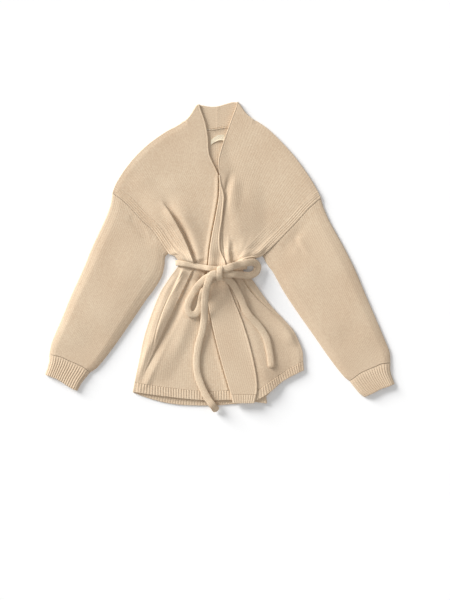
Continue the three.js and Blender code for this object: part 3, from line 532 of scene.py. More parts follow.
def nearest(path, x, y):
    """Distance from a path of points to each place, on which side it is, and how far along."""
    place = np.stack([x, y], -1)
    best = np.full(x.shape, 1e9)
    side = np.zeros(x.shape)
    along = np.zeros(x.shape)
    count = len(path) - 1
    for k in range(count):
        a, b = path[k], path[k + 1]
        run = b - a
        t = np.clip(((place - a) @ run) / (run @ run), 0, 1)
        off = place - a - t[..., None] * run
        far = np.hypot(off[..., 0], off[..., 1])
        closer = far < best
        best = np.where(closer, far, best)
        side = np.where(closer, np.sign(run[0] * off[..., 1] - run[1] * off[..., 0]), side)
        along = np.where(closer, (k + t) / count, along)
    return best, side, along


def fold_height(folds, x, y):
    """Sum of the soft folds at a place. Each starts low and is full after 0.4 of its way."""
    total = np.zeros(np.shape(x))
    for f in folds:
        path = np.array([[f["xa"], f["ya"]], [f["xb"], f["yb"]], [f["xc"], f["yc"]]], float)
        far, side, along = nearest(path, x, y)
        total += f["high"] * bump(far / (2 * f["wide"])) * (0.25 + 0.75 * ease(along / 0.4))
    return total


def crease_profile(c, off):
    """Height across a crease, with off positive towards its sharp side."""
    soft = -c["deep"] * ease(1 + off / c["soft"])
    rise = mix(-c["deep"], c["high"], ease(off / c["sharp"]))
    back = c["high"] * ease(1 - (off - c["sharp"]) / c["back"])
    return np.where(off < 0, soft, np.where(off < c["sharp"], rise, back))


def crease_height(creases, x, y):
    """Sum of the deep creases at a place, each on a smooth curve from a to c by b."""
    total = np.zeros(np.shape(x))
    t = np.linspace(0, 1, 13)[:, None]
    for c in creases:
        a, b, d = (np.array([c["x" + k], c["y" + k]], float) for k in "abc")
        path = a * 2 * (t - 0.5) * (t - 1) + b * 4 * t * (1 - t) + d * 2 * t * (t - 0.5)
        far, side, along = nearest(path, x, y)
        fade = ease(np.minimum(along / c["start"], (1 - along) / c["end"]))
        beyond = (along <= 0) | (along >= 1)
        total += crease_profile(c, far * side * c["lean"]) * np.where(beyond, 0, fade)
    return total


# Heights of the layers at a place. rim is the distance to the nearest side seam.
def back_under(x, y, rim, opened=0):
    """The back lies on the surface and the belt, so it has no layer below that could be apart."""
    near = gathered(x, y)
    rise = rim_rise * near * ease(1 - rim / rim_reach)
    return belt_lifted(x, y) + rise + pleat_lift * near * pleat(x, y) * ease(rim / rim_reach)


def back_over(x, y, rim):
    return back_under(x, y, rim) + wall + gather_wall * gathered(x, y) * ease(rim / gather_rim)


def lifted(folds, x, y, rim):
    """How far the folds of a front lift its inner face too."""
    swell = np.maximum(0, fold_height(folds, x, y))
    lift = np.minimum(lifted_by_folds["most"], lifted_by_folds["share"] * swell)
    return lift * ease(rim / relief_rim)


def relief(folds, x, y, rim):
    """Gathers and soft folds above the plain cloth of a front."""
    loose = 1 - 0.75 * squeezed(x, y)
    gathers = gathered(x, y) * (gather_wall + pleat_high * pleat(x, y) * loose)
    folded = fold_height(folds, x, y) * (1 - squeezed(x, y))
    inside = ease((rim + relief_start) / relief_rim)
    return relief_share * np.maximum(fold_wall - wall, (gathers + folded) * inside)


def creased(plain, creases, x, y, rim):
    """The soft relief with the deep creases cut into it; only their hollows pass under the belt."""
    if not creases:
        return plain
    sharp = crease_height(creases, x, y)
    sharp = np.where(sharp > 0, sharp * (1 - bump(from_waist(x, y) / crease_waist)), sharp)
    return np.maximum(crease_wall - wall, plain + sharp * ease((rim + relief_start) / relief_rim))


def on_back(x, y, rim, opened):
    """Where the inner face of a front lies: sewn to the back at the side, and loose further in."""
    inside = np.maximum(opened, ease(rim / rim_reach))
    return back_over(x, y, rim) + seam_gap + (layer_gap - seam_gap) * inside


def right_under(x, y, rim, opened):
    return on_back(x, y, rim, opened) + lifted(right_folds, x, y, rim)


def right_over(x, y, rim, opened, creases=()):
    raised = creased(relief(right_folds, x, y, rim), creases, x, y, rim)
    return right_under(x, y, rim, opened) + wall + raised


def x_at(rows, y, highest):
    """Side to side place of a line at a height, from its rows up to the highest v."""
    below = sorted((row for row in rows if row["v"] <= highest), key=lambda row: row["y"])
    return np.interp(y, [row["y"] for row in below], [row["x"] for row in below])


def left_under(x, y, rim, opened):
    """The left front rides up over the hidden free edge of the right front."""
    low = on_back(x, y, rim, opened) + lifted(left_folds, x, y, rim)
    edge_x = x_at(right_free, y, 2)
    soft = np.clip(rim - ride["soft_from"], 0, ride["soft"])
    laid = ease((edge_x + ride["before"] + soft - x) / (ride["over"] + soft))
    over_lip = lip_high * bump((x - edge_x) / ride["lip"])
    return mix(low, right_over(x, y, rim, 1) + over_lip + layer_gap, laid)


def left_over(x, y, rim, opened, creases=()):
    """The belt presses the overlapped part flatter than the rest."""
    lapped = ease((at(lip, "x", y) + pressed_lap["before"] - x) / pressed_lap["over"])
    pressed = 1 - pressed_lap["share"] * gathered(x, y) * lapped
    plain = pressed * relief(left_folds, x, y, rim)
    return left_under(x, y, rim, opened) + wall + creased(plain, creases, x, y, rim)


def margin_under(x, y):
    return left_over(x, y, np.full_like(x, margin_rim), 1) + fold_gap


def armhole_open(v):
    """1 along the armhole, where the layers are apart, and 0 at the side seam and shoulder end."""
    return ease((v - underarm) / 0.12) * ease((2 - v) / 0.1)


# Cloth as a closed thin shell: each grid point has a place on the face and one on the lining
class Cloth:
    def __init__(self):
        self.face = np.zeros((0, 3))
        self.lining = np.zeros((0, 3))
        self.uv = np.zeros((0, 2))
        self.grids = []

    def add(self, face, lining, uv):
        """Stores new points and returns their numbers in the same layout."""
        first = len(self.face)
        shape = face.shape[:-1]
        self.face = np.vstack([self.face, face.reshape(-1, 3)])
        self.lining = np.vstack([self.lining, lining.reshape(-1, 3)])
        self.uv = np.vstack([self.uv, uv.reshape(-1, 2)])
        return first + np.arange(int(np.prod(shape))).reshape(shape)


def boundary(quads):
    """Edges that only one quad has, in that quad's direction."""
    starts = quads.ravel()
    ends = np.roll(quads, -1, axis=1).ravel()
    keys = np.minimum(starts, ends) * (quads.max() + 1) + np.maximum(starts, ends)
    _, first, counts = np.unique(keys, return_index=True, return_counts=True)
    once = first[counts == 1]
    return starts[once], ends[once]


def cloth_mesh(name, cloth, material):
    """Mesh of a closed shell: its face, its lining and a rim round its edges."""
    quads = np.vstack([
        np.stack([g[:-1, :-1], g[:-1, 1:], g[1:, 1:], g[1:, :-1]], -1).reshape(-1, 4)
        for g in cloth.grids])
    count = len(cloth.face)
    start, end = boundary(quads)
    rims = np.stack([start + count, end + count, end, start], -1)
    faces = np.vstack([quads, quads[:, ::-1] + count, rims])
    points = np.vstack([cloth.face, cloth.lining])
    a, b, c, d = (points[faces[:, k]] for k in range(4))
    volume = np.einsum("ij,ij->i", a, np.cross(b, c) + np.cross(c, d)).sum()
    if volume < 0:
        faces = faces[:, ::-1]
    uv = np.vstack([cloth.uv, cloth.uv])
    return mesh_piece(name, points, faces, material, uv)


def mesh_piece(name, points, faces, material, uv=None):
    """Object with a smooth mesh, placed by its points in metres."""
    mesh = bpy.data.meshes.new(name)
    mesh.from_pydata(((points + drawn_from) * mm).tolist(), [], [list(f) for f in faces])
    if uv is not None:
        layer = mesh.uv_layers.new(name="knit")
        corners = np.concatenate([np.asarray(f) for f in faces])
        layer.data.foreach_set("uv", uv[corners].ravel())
    mesh.polygons.foreach_set("use_smooth", [True] * len(mesh.polygons))
    mesh.materials.append(material)
    mesh.update()
    piece = bpy.data.objects.new(name, mesh)
    bpy.context.scene.collection.objects.link(piece)
    return piece


def half_round(t):
    """Height of a quarter circle at a share t of its width."""
    return np.sqrt(1 - (1 - np.clip(t, 0, 1)) ** 2)


def rounded(over, under, edges):
    """Both faces drawn together towards the edges that are edges mm away, as a half round."""
    thin = half_round(np.maximum(edges / edge_round, 0.02))
    middle = (over + under) / 2
    return middle + (over - middle) * thin, middle + (under - middle) * thin


def towards(count, fine, share):
    """Steps from 0 to 1 with fine ones over the first share of the way, beside the armhole."""
    seam = share * np.array([0, 0.004, 0.012, 0.022])
    near = np.linspace(0.035 * share, share, fine)
    rest = np.linspace(share, 0.988, count + 1)[1:]
    return np.concatenate([seam, near, rest, [0.994, 0.997, 0.999, 1]])


def graded(count, close=0.012):
    """Even steps from 0 to 1 with a few close ones at both ends for the rounded edges."""
    ends = close * np.array([0, 0.08, 0.25, 0.5])
    inner = np.linspace(close, 1 - close, count)
    return np.concatenate([ends, inner, 1 - ends[::-1]])


def rows_from(gap, count, close):
    """Rows from 0 to 1 of a piece that starts a small gap from its neighbour."""
    return mix(gap, 1, graded(count, close))


def from_ends(p, first=1, last=1):
    """Distance to the first or last row, whichever is nearer, each over its share of rounding."""
    return np.minimum(apart(p, p[:1]) / first, apart(p, p[-1:]) / last)


def from_sides(p):
    """Distance to the first or last column, whichever is nearer."""
    return np.minimum(apart(p, p[:, :1]), apart(p, p[:, -1:]))


def lip_at(edges, full=1):
    """The rolled lip along a free edge, with a shallow groove inside it."""
    return full * (lip_high * bump((edges - lip_wide / 2) / (lip_wide / 2 + 1))
                   - groove_deep * bump((edges - lip_wide - 1) / 2))


def ribs_at(edges, places):
    return sum(bump((edges - place) / ridge_wide) for place in places)


def ridges_at(edges, v, high):
    """Raised ribs beside the armhole seam, lower near the waist, and a band of them further in."""
    low_share = ridge_fade["low_share"]
    beside = (low_share * ease((v - ridge_fade["low"]) / ridge_fade["low_over"])
              + (1 - low_share) * ease((v - ridge_fade["high"]) / ridge_fade["high_over"]))
    band = (ease((v - band_fade["low"]) / band_fade["low_over"])
            * ease((band_fade["high"] - v) / band_fade["high_over"]))
    return high * (ribs_at(edges, ridge_places) * beside + ribs_at(edges, band_places) * band)


def courses(points):
    """Knit rows by the mean length along the columns."""
    steps = apart(points[1:], points[:-1]).mean(axis=1)
    return np.concatenate([[0], np.cumsum(steps)]) / course


def knit_map(u, points):
    """Map of the knit: columns of stitches across, and knit rows along."""
    return np.stack([u, np.broadcast_to(courses(points)[:, None], u.shape)], -1)


def shell(name, points, over, under, uv, material):
    """A piece of one grid with an upper and a lower face."""
    cloth = Cloth()
    cloth.grids = [cloth.add(np.dstack([points, over]), np.dstack([points, under]), uv)]
    return cloth_mesh(name, cloth, material)


# Back
def back():
    u, v = np.meshgrid(graded(back_grid["columns"]), 2 * graded(back_grid["rows"], 0.006))
    p = body_point(panels["back"], u, v)
    x, y = p[..., 0], p[..., 1]
    rim = from_sides(p)
    from_tips = np.minimum(u - neck_rib["from"], neck_rib["to"] - u)
    neck = (neck_rib["high"] * ease(from_tips / neck_rib["over"])
            * bump((apart(p, p[-1:]) - neck_rib["in"]) / neck_rib["wide"]))
    over, under = rounded(back_over(x, y, rim) + neck, back_under(x, y, rim),
                          np.minimum(rim, from_ends(p)))
    return shell("back_cloth", p, over, under, knit_map(u * wales["back"], p), knit_cotton())


def turned_in(p, top):
    """Points near a folded edge drawn inward, so that the fold can turn over to the edge itself."""
    inward = neck_centre - p
    inward /= np.linalg.norm(inward, axis=-1)[..., None]
    return p + inward * (turn_round * np.clip(1 - apart(p, top) / (4 * turn_round), 0, 1))[..., None]


# Collar: each half turns over the neck's outline and lies behind the neck, inner face up
def turn_steps(widest):
    """Cosines and sines of a half turn, from a little under its top to a little over its foot."""
    angles = np.radians(np.linspace(widest, -widest, turn_angles))
    return zip(np.cos(angles), np.sin(angles))


def collar_half(cloth, grid, columns, shoulder, mirror, uv_top):
    """Adds the turn over the neck's outline and the half of the collar behind the neck."""
    turn = spot(shoulder, columns)
    inward = neck_centre - turn
    inward /= np.linalg.norm(inward, axis=-1)[:, None]
    side = (columns - columns[0]) / (columns[-1] - columns[0])
    across = (1 - side if mirror else side)[:, None]
    outer = np.maximum(turn_round * ease(across / 0.12), turn_least)
    top, under = cloth.face[grid, 2], cloth.lining[grid, 2]
    faces, linings, maps = [], [], []
    for k, (c, s) in enumerate(turn_steps(80)):
        middle = (under + wall) / 2
        faces.append(np.column_stack([turn + inward * outer * (1 - c), (1 + s) * top / 2]))
        linings.append(np.column_stack([turn + inward * outer * (1 - 0.2 * c),
                                        middle + s * (under - wall) / 2]))
        maps.append(uv_top + [0, 2 * k / (turn_angles - 1)])

    def across_at(along):
        return mix(spot(neck_seam, along) + [0, 2 * seam_gap], spot(collar_top, along), across)
    to_turn = turn + inward * outer - across_at(float(mirror))
    for step in collar_steps:
        p = across_at(1 - step if mirror else step) + to_turn * (1 - ease(step / 0.2))
        centre = (0.5 - step) * collar_back
        p[:, 0] += (seam_gap / 2 if mirror else -seam_gap / 2) * (1 - ease(centre / 3))
        rise = collar_seam_high * bump((centre - 2) / 3)
        rim = from_ends(p)
        over, base = rounded(np.full_like(rim, wall + rise), np.zeros_like(rim), rim)
        faces.append(np.column_stack([p, base]))
        linings.append(np.column_stack([p, over]))
        maps.append(uv_top + [0, 2.2 + step * collar_back / course])
    added = cloth.add(np.array(faces), np.array(linings), np.array(maps))
    cloth.grids.append(np.vstack([grid[None], added]))


def front_rows():
    return 2 * graded(front_grid["rows"], 0.005)


def seamed(rim, v):
    """Distance to a side edge, which is drawn in less where it is sewn to the sleeve."""
    return rim / mix(1, seam_round, ease((v - underarm) / 0.03))


def front_layer(name, side, u, v, under, over, creases, collar):
    """Points and heights of a front, and the distances to its side seam and its shoulder."""
    panel = panels[name]
    p = body_point(panel, u, v)
    top = body_point(panel, u, 2.0)
    p_in = np.where(collar[..., None], turned_in(p, top), p)
    x, y = p_in[..., 0], p_in[..., 1]
    rim = apart(p, body_point(panel, np.full_like(v, side), v))
    shut = np.where(collar, 1, ease(apart(p, top) / 14))
    opened = armhole_open(v)
    base = mix(back_over(x, y, rim) + seam_gap, under(x, y, rim, opened), shut)
    high = base + over(x, y, rim, opened, creases) - under(x, y, rim, opened)
    return p_in, base, high + ridges_at(rim, v, ridge_high[name]), rim, apart(p, top)


def beside_strip(x, y):
    """Dip of the right front along the folded edge of the left one, softer below the belt."""
    place = strip_place
    dip = crease_profile(strip_dip, x_at(left_turn, y, place["highest"]) - place["in"] - x)
    dip = np.where(dip > 0, dip * (1 - bump(from_waist(x, y) / crease_waist)), dip)
    dip = dip * ease((place["top"] - y) / place["over"])
    return dip * np.where(from_waist(x, y) < 0, place["below_belt"], 1)


def front_right():
    columns = towards(front_grid["right"], front_grid["beside_armhole"], 0.13)
    u, v = np.meshgrid(columns, front_rows())
    collar = u >= right_neck_at
    p, base, high, rim, top = front_layer("right", 0, u, v, right_under, right_over,
                                          right_creases, collar)
    free = apart(p, p[:, -1:])
    high = np.maximum(high + beside_strip(p[..., 0], p[..., 1]), base + crease_wall)
    high += lip_at(free, 1 - 0.7 * ease((v - 1.5) / 0.1))
    edges = np.minimum(np.minimum(seamed(rim, v), free), np.where(collar, no_edge, top))
    over, under = rounded(high, base, edges)
    uv = knit_map(u * wales["right"], p)
    cloth = Cloth()
    grid = cloth.add(np.dstack([p, over]), np.dstack([p, under]), uv)
    cloth.grids = [grid]
    first = int(np.argmax(columns >= right_neck_at))
    collar_half(cloth, grid[-1, first:], columns[first:], right_shoulder, False, uv[-1, first:])
    return cloth_mesh("front_right_cloth", cloth, knit_cotton())


# The left front's margin turns back over its own face from the turn line to the lip
def margin_points(turn, seat, raised, taper, count):
    """Points across the margin from its lip to the turn, then round the fold. It is thinner and
    narrower where taper is below 1."""
    thin = 0.1 + 0.55 * taper
    lip_x = mix(turn[:, 0], at(lip, "x", turn[:, 1]), 0.2 + 0.8 * taper)
    t = np.concatenate([[1, 0.995, 0.985, 0.97], np.linspace(0.95, 0, count)])
    x = mix(turn[:, :1] + fold_round, lip_x[:, None], t)
    y = np.broadcast_to(turn[:, 1:], x.shape)
    base = seat(x, y)
    edges = lip_x[:, None] - x
    top, low = rounded(base + (wall + raised(t, edges)) * thin[:, None], base, edges)
    faces, linings = [np.dstack([x, y, low])], [np.dstack([x, y, top])]
    seat_z = base[:, -1]
    high, deep = seat_z + wall * thin, seat_z - fold_gap - wall
    for c, s in turn_steps(75):
        out = turn[:, 0] + fold_round * (1 - c)
        inner = turn[:, 0] + fold_round * (1 - 0.17 * c)
        outside = np.column_stack([out, turn[:, 1], (high + deep + s * (high - deep)) / 2])
        inside = np.column_stack([inner, turn[:, 1], seat_z - fold_gap * (1 - s) / 2])
        linings.append(outside[:, None])
        faces.append(inside[:, None])
    round_the_fold = np.broadcast_to(np.linspace(-0.6, -0.1, turn_angles), (len(x), turn_angles))
    across = np.concatenate([(turn[:, :1] - x) / margin_wale, round_the_fold], axis=1)
    return np.concatenate(faces, axis=1), np.concatenate(linings, axis=1), across


def drawn_to_fold(free):
    """Shift of the points near the turn line, which makes room for the round of the fold."""
    return fold_round * np.clip(1 - free / 12, 0, 1)


def add_margin(cloth, points, from_end, rows, joined):
    """Rounds the ends of the margin and joins it to the piece that it turns back from."""
    face, lining, across = points
    lining[..., 2], face[..., 2] = rounded(lining[..., 2], face[..., 2], from_end(face))
    uv = np.stack([across, np.broadcast_to(rows[:, None], across.shape)], -1)
    cloth.grids.append(np.hstack([cloth.add(face, lining, uv), joined]))


def front_left():
    columns = 1 - towards(front_grid["left"], front_grid["beside_armhole"], 0.15)[::-1]
    rows = front_rows()
    u, v = np.meshgrid(columns, rows)
    collar = u <= left_neck_at
    p, base, high, rim, top = front_layer("left", 1, u, v, left_under, left_over,
                                          left_creases, collar)
    free = apart(p, p[:, :1])
    turned = v <= margin_top
    p[..., 0] += np.where(turned, drawn_to_fold(free), 0)
    high += np.where(turned, 0, lip_at(free, 0.3))
    edges = np.minimum(np.minimum(seamed(rim, v), np.where(turned, no_edge, free)),
                       np.where(collar, no_edge, top))
    over, under = rounded(high, base, edges)
    uv = knit_map(u * wales["left"], p)
    cloth = Cloth()
    grid = cloth.add(np.dstack([p, over]), np.dstack([p, under]), uv)
    cloth.grids = [grid]
    last = int(np.argmax(columns > left_neck_at))
    collar_half(cloth, grid[-1, :last], columns[:last], left_shoulder, True, uv[-1, :last])
    kept = rows <= margin_top
    turn = spot(left_turn, rows[kept])
    taper = ease((margin_top - rows[kept]) / 0.12)
    points = margin_points(turn, margin_under, lambda t, edges: lip_at(edges), taper,
                           margin_columns["front"])
    add_margin(cloth, points, lambda face: apart(face, face[:1]) / seam_round, courses(p)[kept],
               grid[kept][:, :1])
    return cloth_mesh("front_left_cloth", cloth, knit_cotton())


def ribbed(place):
    """Height of the ribs, flat on top with a narrow groove at every whole number."""
    return np.sqrt(0.5 - 0.5 * np.cos(2 * np.pi * place))


# Sleeves and cuffs are flattened tubes: the upper wall lies on the lower one
def hollow(s, high):
    return seam_gap + (high - seam_gap) * ease(s / 0.14) * ease((1 - s) / 0.14)


def tube_cloth(name, place, rows, steps, gap, lift, ends, wale_count, material):
    """A flattened tube: place gives its points across and along, lift the relief of its upper face."""
    cloth = Cloth()
    s, t = np.meshgrid(steps, rows)
    p = place(s, t)
    width = apart(p[:, 0], p[:, -1])[:, None]
    inset = wall / width
    inner = place(mix(inset, 1 - inset, s), t)
    full = half_round(np.minimum(s, 1 - s) * width / side_round)
    middle = wall + seam_gap / 2
    top = 2 * wall + gap(s, t) + lift(p, s, t)
    open_ends = from_ends(p, ends["start"], ends["end"])
    upper_in = middle + (wall + gap(s, t) - middle) * full
    lower_in = middle - (middle - wall) * full
    upper, upper_in = rounded(middle + (top - middle) * full, upper_in, open_ends)
    lower_in, lower = rounded(lower_in, middle - middle * full, open_ends)
    face = np.concatenate([np.dstack([p, upper]), np.dstack([p, lower])[:, -2:0:-1]], axis=1)
    lining = np.concatenate([np.dstack([inner, upper_in]),
                             np.dstack([inner, lower_in])[:, -2:0:-1]], axis=1)
    u = np.concatenate([s, 2 - s[:, -2:0:-1]], axis=1) * wale_count
    ids = cloth.add(face, lining, knit_map(u, p))
    cloth.grids = [np.hstack([ids, ids[:, :1]])]
    return cloth_mesh(name, cloth, material)


def tube_steps(count):
    """Even steps across a tube, closer together near its two folded sides."""
    t = np.linspace(0, 1, count)
    return t - 0.8 * np.sin(2 * np.pi * t) / (2 * np.pi)


def sleeve(side):
    """A sleeve from its armhole to the cuff, on the lines and folds of its side."""
    name = f"sleeve_{side}_cloth"
    sides = {"from": sleeve_inner[side], "to": sleeve_outer[side]}

    def armhole(s):
        return spot(body_side[side], armhole_at(s))

    def place(s, t):
        return patch(sides, armhole, line_of(cuff_line[side]), s, t, np.minimum(t, 0.999))

    def gap(s, t):
        return hollow(s, layer_gap + 2 * ease(t / 0.3) - ease((t - 0.8) / 0.2))

    def lift(p, s, t):
        soft = fold_height(sleeve_folds[side], p[..., 0], p[..., 1])
        sharp = crease_height(sleeve_creases[side], p[..., 0], p[..., 1])
        return np.maximum(-1.4, soft + sharp) * ease(t / 0.06) * np.sqrt(bump(2 * s - 1))
    rows = rows_from(0.0016, sleeve_grid["rows"], 0.004)
    return tube_cloth(name, place, rows, tube_steps(sleeve_grid["columns"]), gap, lift,
                      {"start": seam_round, "end": seam_round}, wales["sleeve"], knit_cotton())


def cuff(side):
    """A ribbed cuff from the end of its sleeve to its free edge."""
    line = cuff_line[side]
    count = round(float(apart(spot(line, 0), spot(line, 1))) / rib_pitch)
    sides = {"from": cuff_inner[side], "to": cuff_outer[side]}

    def place(s, t):
        return patch(sides, line_of(line), line_of(cuff_edge[side]), s, t, t)

    def lift(p, s, t):
        return rib_high * ribbed(count * s) * ease(t / 0.2)
    rows = rows_from(0.006, cuff_grid["rows"], 0.03)
    steps = np.linspace(0, 1, cuff_grid["per_rib"] * count + 1)
    return tube_cloth(f"cuff_{side}_cloth", place, rows, steps, lambda s, t: hollow(s, 2.6), lift,
                      {"start": seam_round, "end": 1}, count, rib_cotton())


# Hem bands: ribs run down from the panel's lower line to the edge
def band_rows():
    return rows_from(0.016, hem_grid["rows"], 0.08)


def band_points(panel, low, wide, under, seams, shown):
    """Points, heights and knit map of a band. Its ribs fade out at the side seams and where the
    margin covers it."""
    count = round(wide / rib_pitch)
    u, t = np.meshgrid(np.linspace(0, 1, hem_grid["per_rib"] * count + 1), band_rows())
    p = mix(spot(panel["hem"], u), spot(low, u), t[..., None])
    x, y = p[..., 0], p[..., 1]
    rim = np.min([abs(spot(panel["hem"], seam)[0] - x) for seam in seams], axis=0)
    rib = ribbed(count * u) * ease(rim / 14) * shown(x, y) * (1 - 0.5 * t)
    base = under(x, y, rim, 0)
    return p, base, base + wall + rib_high * rib, np.stack([u * count, t * band_deep / course], -1)


def hem_band(name, panel, low, wide, under, seams):
    p, base, high, uv = band_points(panel, low, wide, under, seams, lambda x, y: 1)
    edges = np.minimum(from_sides(p), from_ends(p, seam_round))
    over, below = rounded(high, base, edges)
    return shell(name, p, over, below, uv, rib_cotton())


def hem_left():
    """The left band, which goes on round the fold and across the turned-back margin."""
    def shown(x, y):
        return ease((x - at(lip, "x", y) - 1) / 2)
    p, base, high, uv = band_points(panels["left"], left_hem_edge, 192, left_under, [1], shown)
    edges = np.minimum(apart(p, p[:, -1:]), from_ends(p))
    p[..., 0] += drawn_to_fold(apart(p, p[:, :1]))
    over, below = rounded(high, base, edges)
    cloth = Cloth()
    grid = cloth.add(np.dstack([p, over]), np.dstack([p, below]), uv)
    cloth.grids = [grid]
    rows = band_rows()
    turn = mix(spot(left_hem, 0)[None], spot(left_hem_edge, 0)[None], rows[:, None])

    def seat(x, y):
        return left_under(x, y, np.full_like(x, margin_rim), 0) + wall + fold_gap

    def raised(t, edges):
        return rib_high * ribbed(margin_ribs * t)
    points = margin_points(turn, seat, raised, np.ones(len(rows)), margin_columns["hem"])
    add_margin(cloth, points, lambda face: from_ends(face, seam_round), rows * band_deep / course,
               grid[:, :1])
    return cloth_mesh("hem_left_cloth", cloth, rib_cotton())


def label():
    u, t = np.meshgrid(graded(30, 0.03), graded(12, 0.1))
    low, high = at(label_rows, "y_low", u), at(label_rows, "y_top", u)
    p = np.stack([at(label_rows, "x", u), mix(low, high, t)], -1)
    curl = 1.4 * ease((0.12 - t) / 0.12) * ease((u - 0.25) / 0.2)
    base = wall + seam_gap + at(label_rows, "rise", u) + curl
    return shell("label_tape", p, base + label_thick, base, p, cotton_tape())


# Belt
def run_along(places):
    """Distance along some points from the first to each."""
    return np.concatenate([[0], np.cumsum(apart(places[1:], places[:-1]))])


def unit(ways):
    return ways / np.linalg.norm(ways, axis=1)[:, None]


def smooth_run(points, steps):
    """Points and directions of a smooth line through the points of a route."""
    points = np.asarray(points, float)
    ends = np.vstack([2 * points[0] - points[1], points, 2 * points[-1] - points[-2]])
    places, ways = [], []
    for k in range(len(points) - 1):
        p0, p1, p2, p3 = ends[k:k + 4]
        d0, d1, d2 = (math.sqrt(np.linalg.norm(b - a)) for a, b in ((p0, p1), (p1, p2), (p2, p3)))
        m1 = ((p1 - p0) / d0 - (p2 - p0) / (d0 + d1) + (p2 - p1) / d1) * d1
        m2 = ((p2 - p1) / d1 - (p3 - p1) / (d1 + d2) + (p3 - p2) / d2) * d1
        last = k == len(points) - 2
        t = np.linspace(0, 1, steps + 1 if last else steps, endpoint=last)[:, None]
        places.append((2 * t**3 - 3 * t**2 + 1) * p1 + (t**3 - 2 * t**2 + t) * m1
                      + (3 * t**2 - 2 * t**3) * p2 + (t**3 - t**2) * m2)
        ways.append((6 * t**2 - 6 * t) * (p1 - p2) + (3 * t**2 - 4 * t + 1) * m1
                    + (3 * t**2 - 2 * t) * m2)
    return np.vstack(places), unit(np.vstack(ways))


def oval(count, power=0.9):
    """Section of the belt: across and up, from -1 to 1."""
    angle = 2 * np.pi * np.arange(count) / count
    across, up = np.cos(angle), np.sin(angle)
    return np.sign(across) * abs(across) ** power, np.sign(up) * abs(up) ** power


def through(rows):
    return [[row["x"], row["y"], row["z"]] for row in rows]


def tube_mesh(name, rings, material, closed, length):
    """Tube through rings of points, with its knit columns along it."""
    count, sides = rings.shape[:2]
    ids = np.arange(count * sides).reshape(count, sides)
    ids = np.vstack([ids, ids[:1]]) if closed else ids
    ids = np.hstack([ids, ids[:, :1]])
    quads = np.stack([ids[:-1, :-1], ids[:-1, 1:], ids[1:, 1:], ids[1:, :-1]], -1).reshape(-1, 4)
    faces = [tuple(q) for q in quads.tolist()]
    if not closed:
        faces += [tuple(ids[0, -2::-1].tolist()), tuple(ids[-1, :-1].tolist())]
    u = np.broadcast_to(np.linspace(0, belt_wales, sides, endpoint=False), (count, sides))
    v = np.broadcast_to((length / belt_course)[:, None], (count, sides))
    points = rings.reshape(-1, 3)
    centre = rings.mean(axis=1)
    corners = points[quads]
    normals = np.cross(corners[:, 1] - corners[:, 0], corners[:, 3] - corners[:, 0])
    outward = corners.mean(axis=1) - centre[np.minimum(quads[:, 0] // sides, count - 1)]
    if (normals * outward).sum() < 0:
        faces = [f[::-1] for f in faces]
    return mesh_piece(name, points, faces, material, np.stack([u, v], -1).reshape(-1, 2))


def rounded_end(places, ways):
    """The last stretch of a route cut into close steps, for the rounded end of the belt."""
    run = run_along(places)
    close = run[-1] - tip_round * (1 - np.sin(np.linspace(0, np.pi / 2, 12)))
    places_at = np.concatenate([run[run < run[-1] - tip_round - 1], close])
    return tuple(np.column_stack([np.interp(places_at, run, part[:, k]) for k in range(3)])
                 for part in (places, ways))


def belt_length(name, rows, square_ends, bare):
    """A length of belt with its oval section kept level across; a bare end is rounded off."""
    places, ways = smooth_run(through(rows), 9)
    if bare:
        places, ways = rounded_end(places, ways)
    for end in square_ends:
        ways[end] = [math.copysign(1, ways[end][0]), 0, 0]
    run = run_along(places)
    full = half_round((run[-1] - run + 0.1) / tip_round) if bare else np.ones(len(run))
    side = unit(np.column_stack([-ways[:, 1], ways[:, 0], np.zeros(len(ways))]))
    up = np.cross(ways, side)
    across, rise = oval(belt_sides)
    plump = 1 + 0.03 * np.sin(run / 23) * np.sin(run / 9.1)
    wide = belt_wide / 2 * full * plump
    thick = belt_thick / 2 * np.maximum(full, 0.35)
    rings = (places[:, None] + side[:, None] * (across[:, None] * wide[:, None, None])
             + up[:, None] * (rise[:, None] * thick[:, None, None]))
    piece = tube_mesh(name, rings, belt_cotton(), False, run)
    return piece


def cloth_top(x, y):
    """Top of the cloth at a place near the waist, as the belt finds it."""
    turn = x_at(left_turn, y, near_waist)
    right = right_over(x, y, x - x_at(right_side, y, near_waist), 0)
    left = left_over(x, y, x_at(left_side, y, near_waist) - x, 0)
    margin = margin_under(x, y) + wall + lip_high
    return np.where(x < turn - 1, right, np.where(x > at(lip, "x", y) + 1, left, margin))


def waist_run():
    """Where the belt lies over the fronts: on the highest cloth under its width, evened out."""
    x = np.linspace(waist_sides["right"] + 4, waist_sides["left"] - 4, 14)
    y = at(belt_line, "y", x)
    dx, dy = np.meshgrid([-4, 0, 4], [-6, -3, 0, 3, 6])
    top = cloth_top(x[:, None] + dx.ravel(), y[:, None] + dy.ravel()).max(axis=1)
    for _ in range(2):
        top[1:-1] = np.maximum(top[1:-1], (top[:-2] + top[2:]) / 2)
    return np.column_stack([x, y, top + belt_clear + belt_pressed / 2])


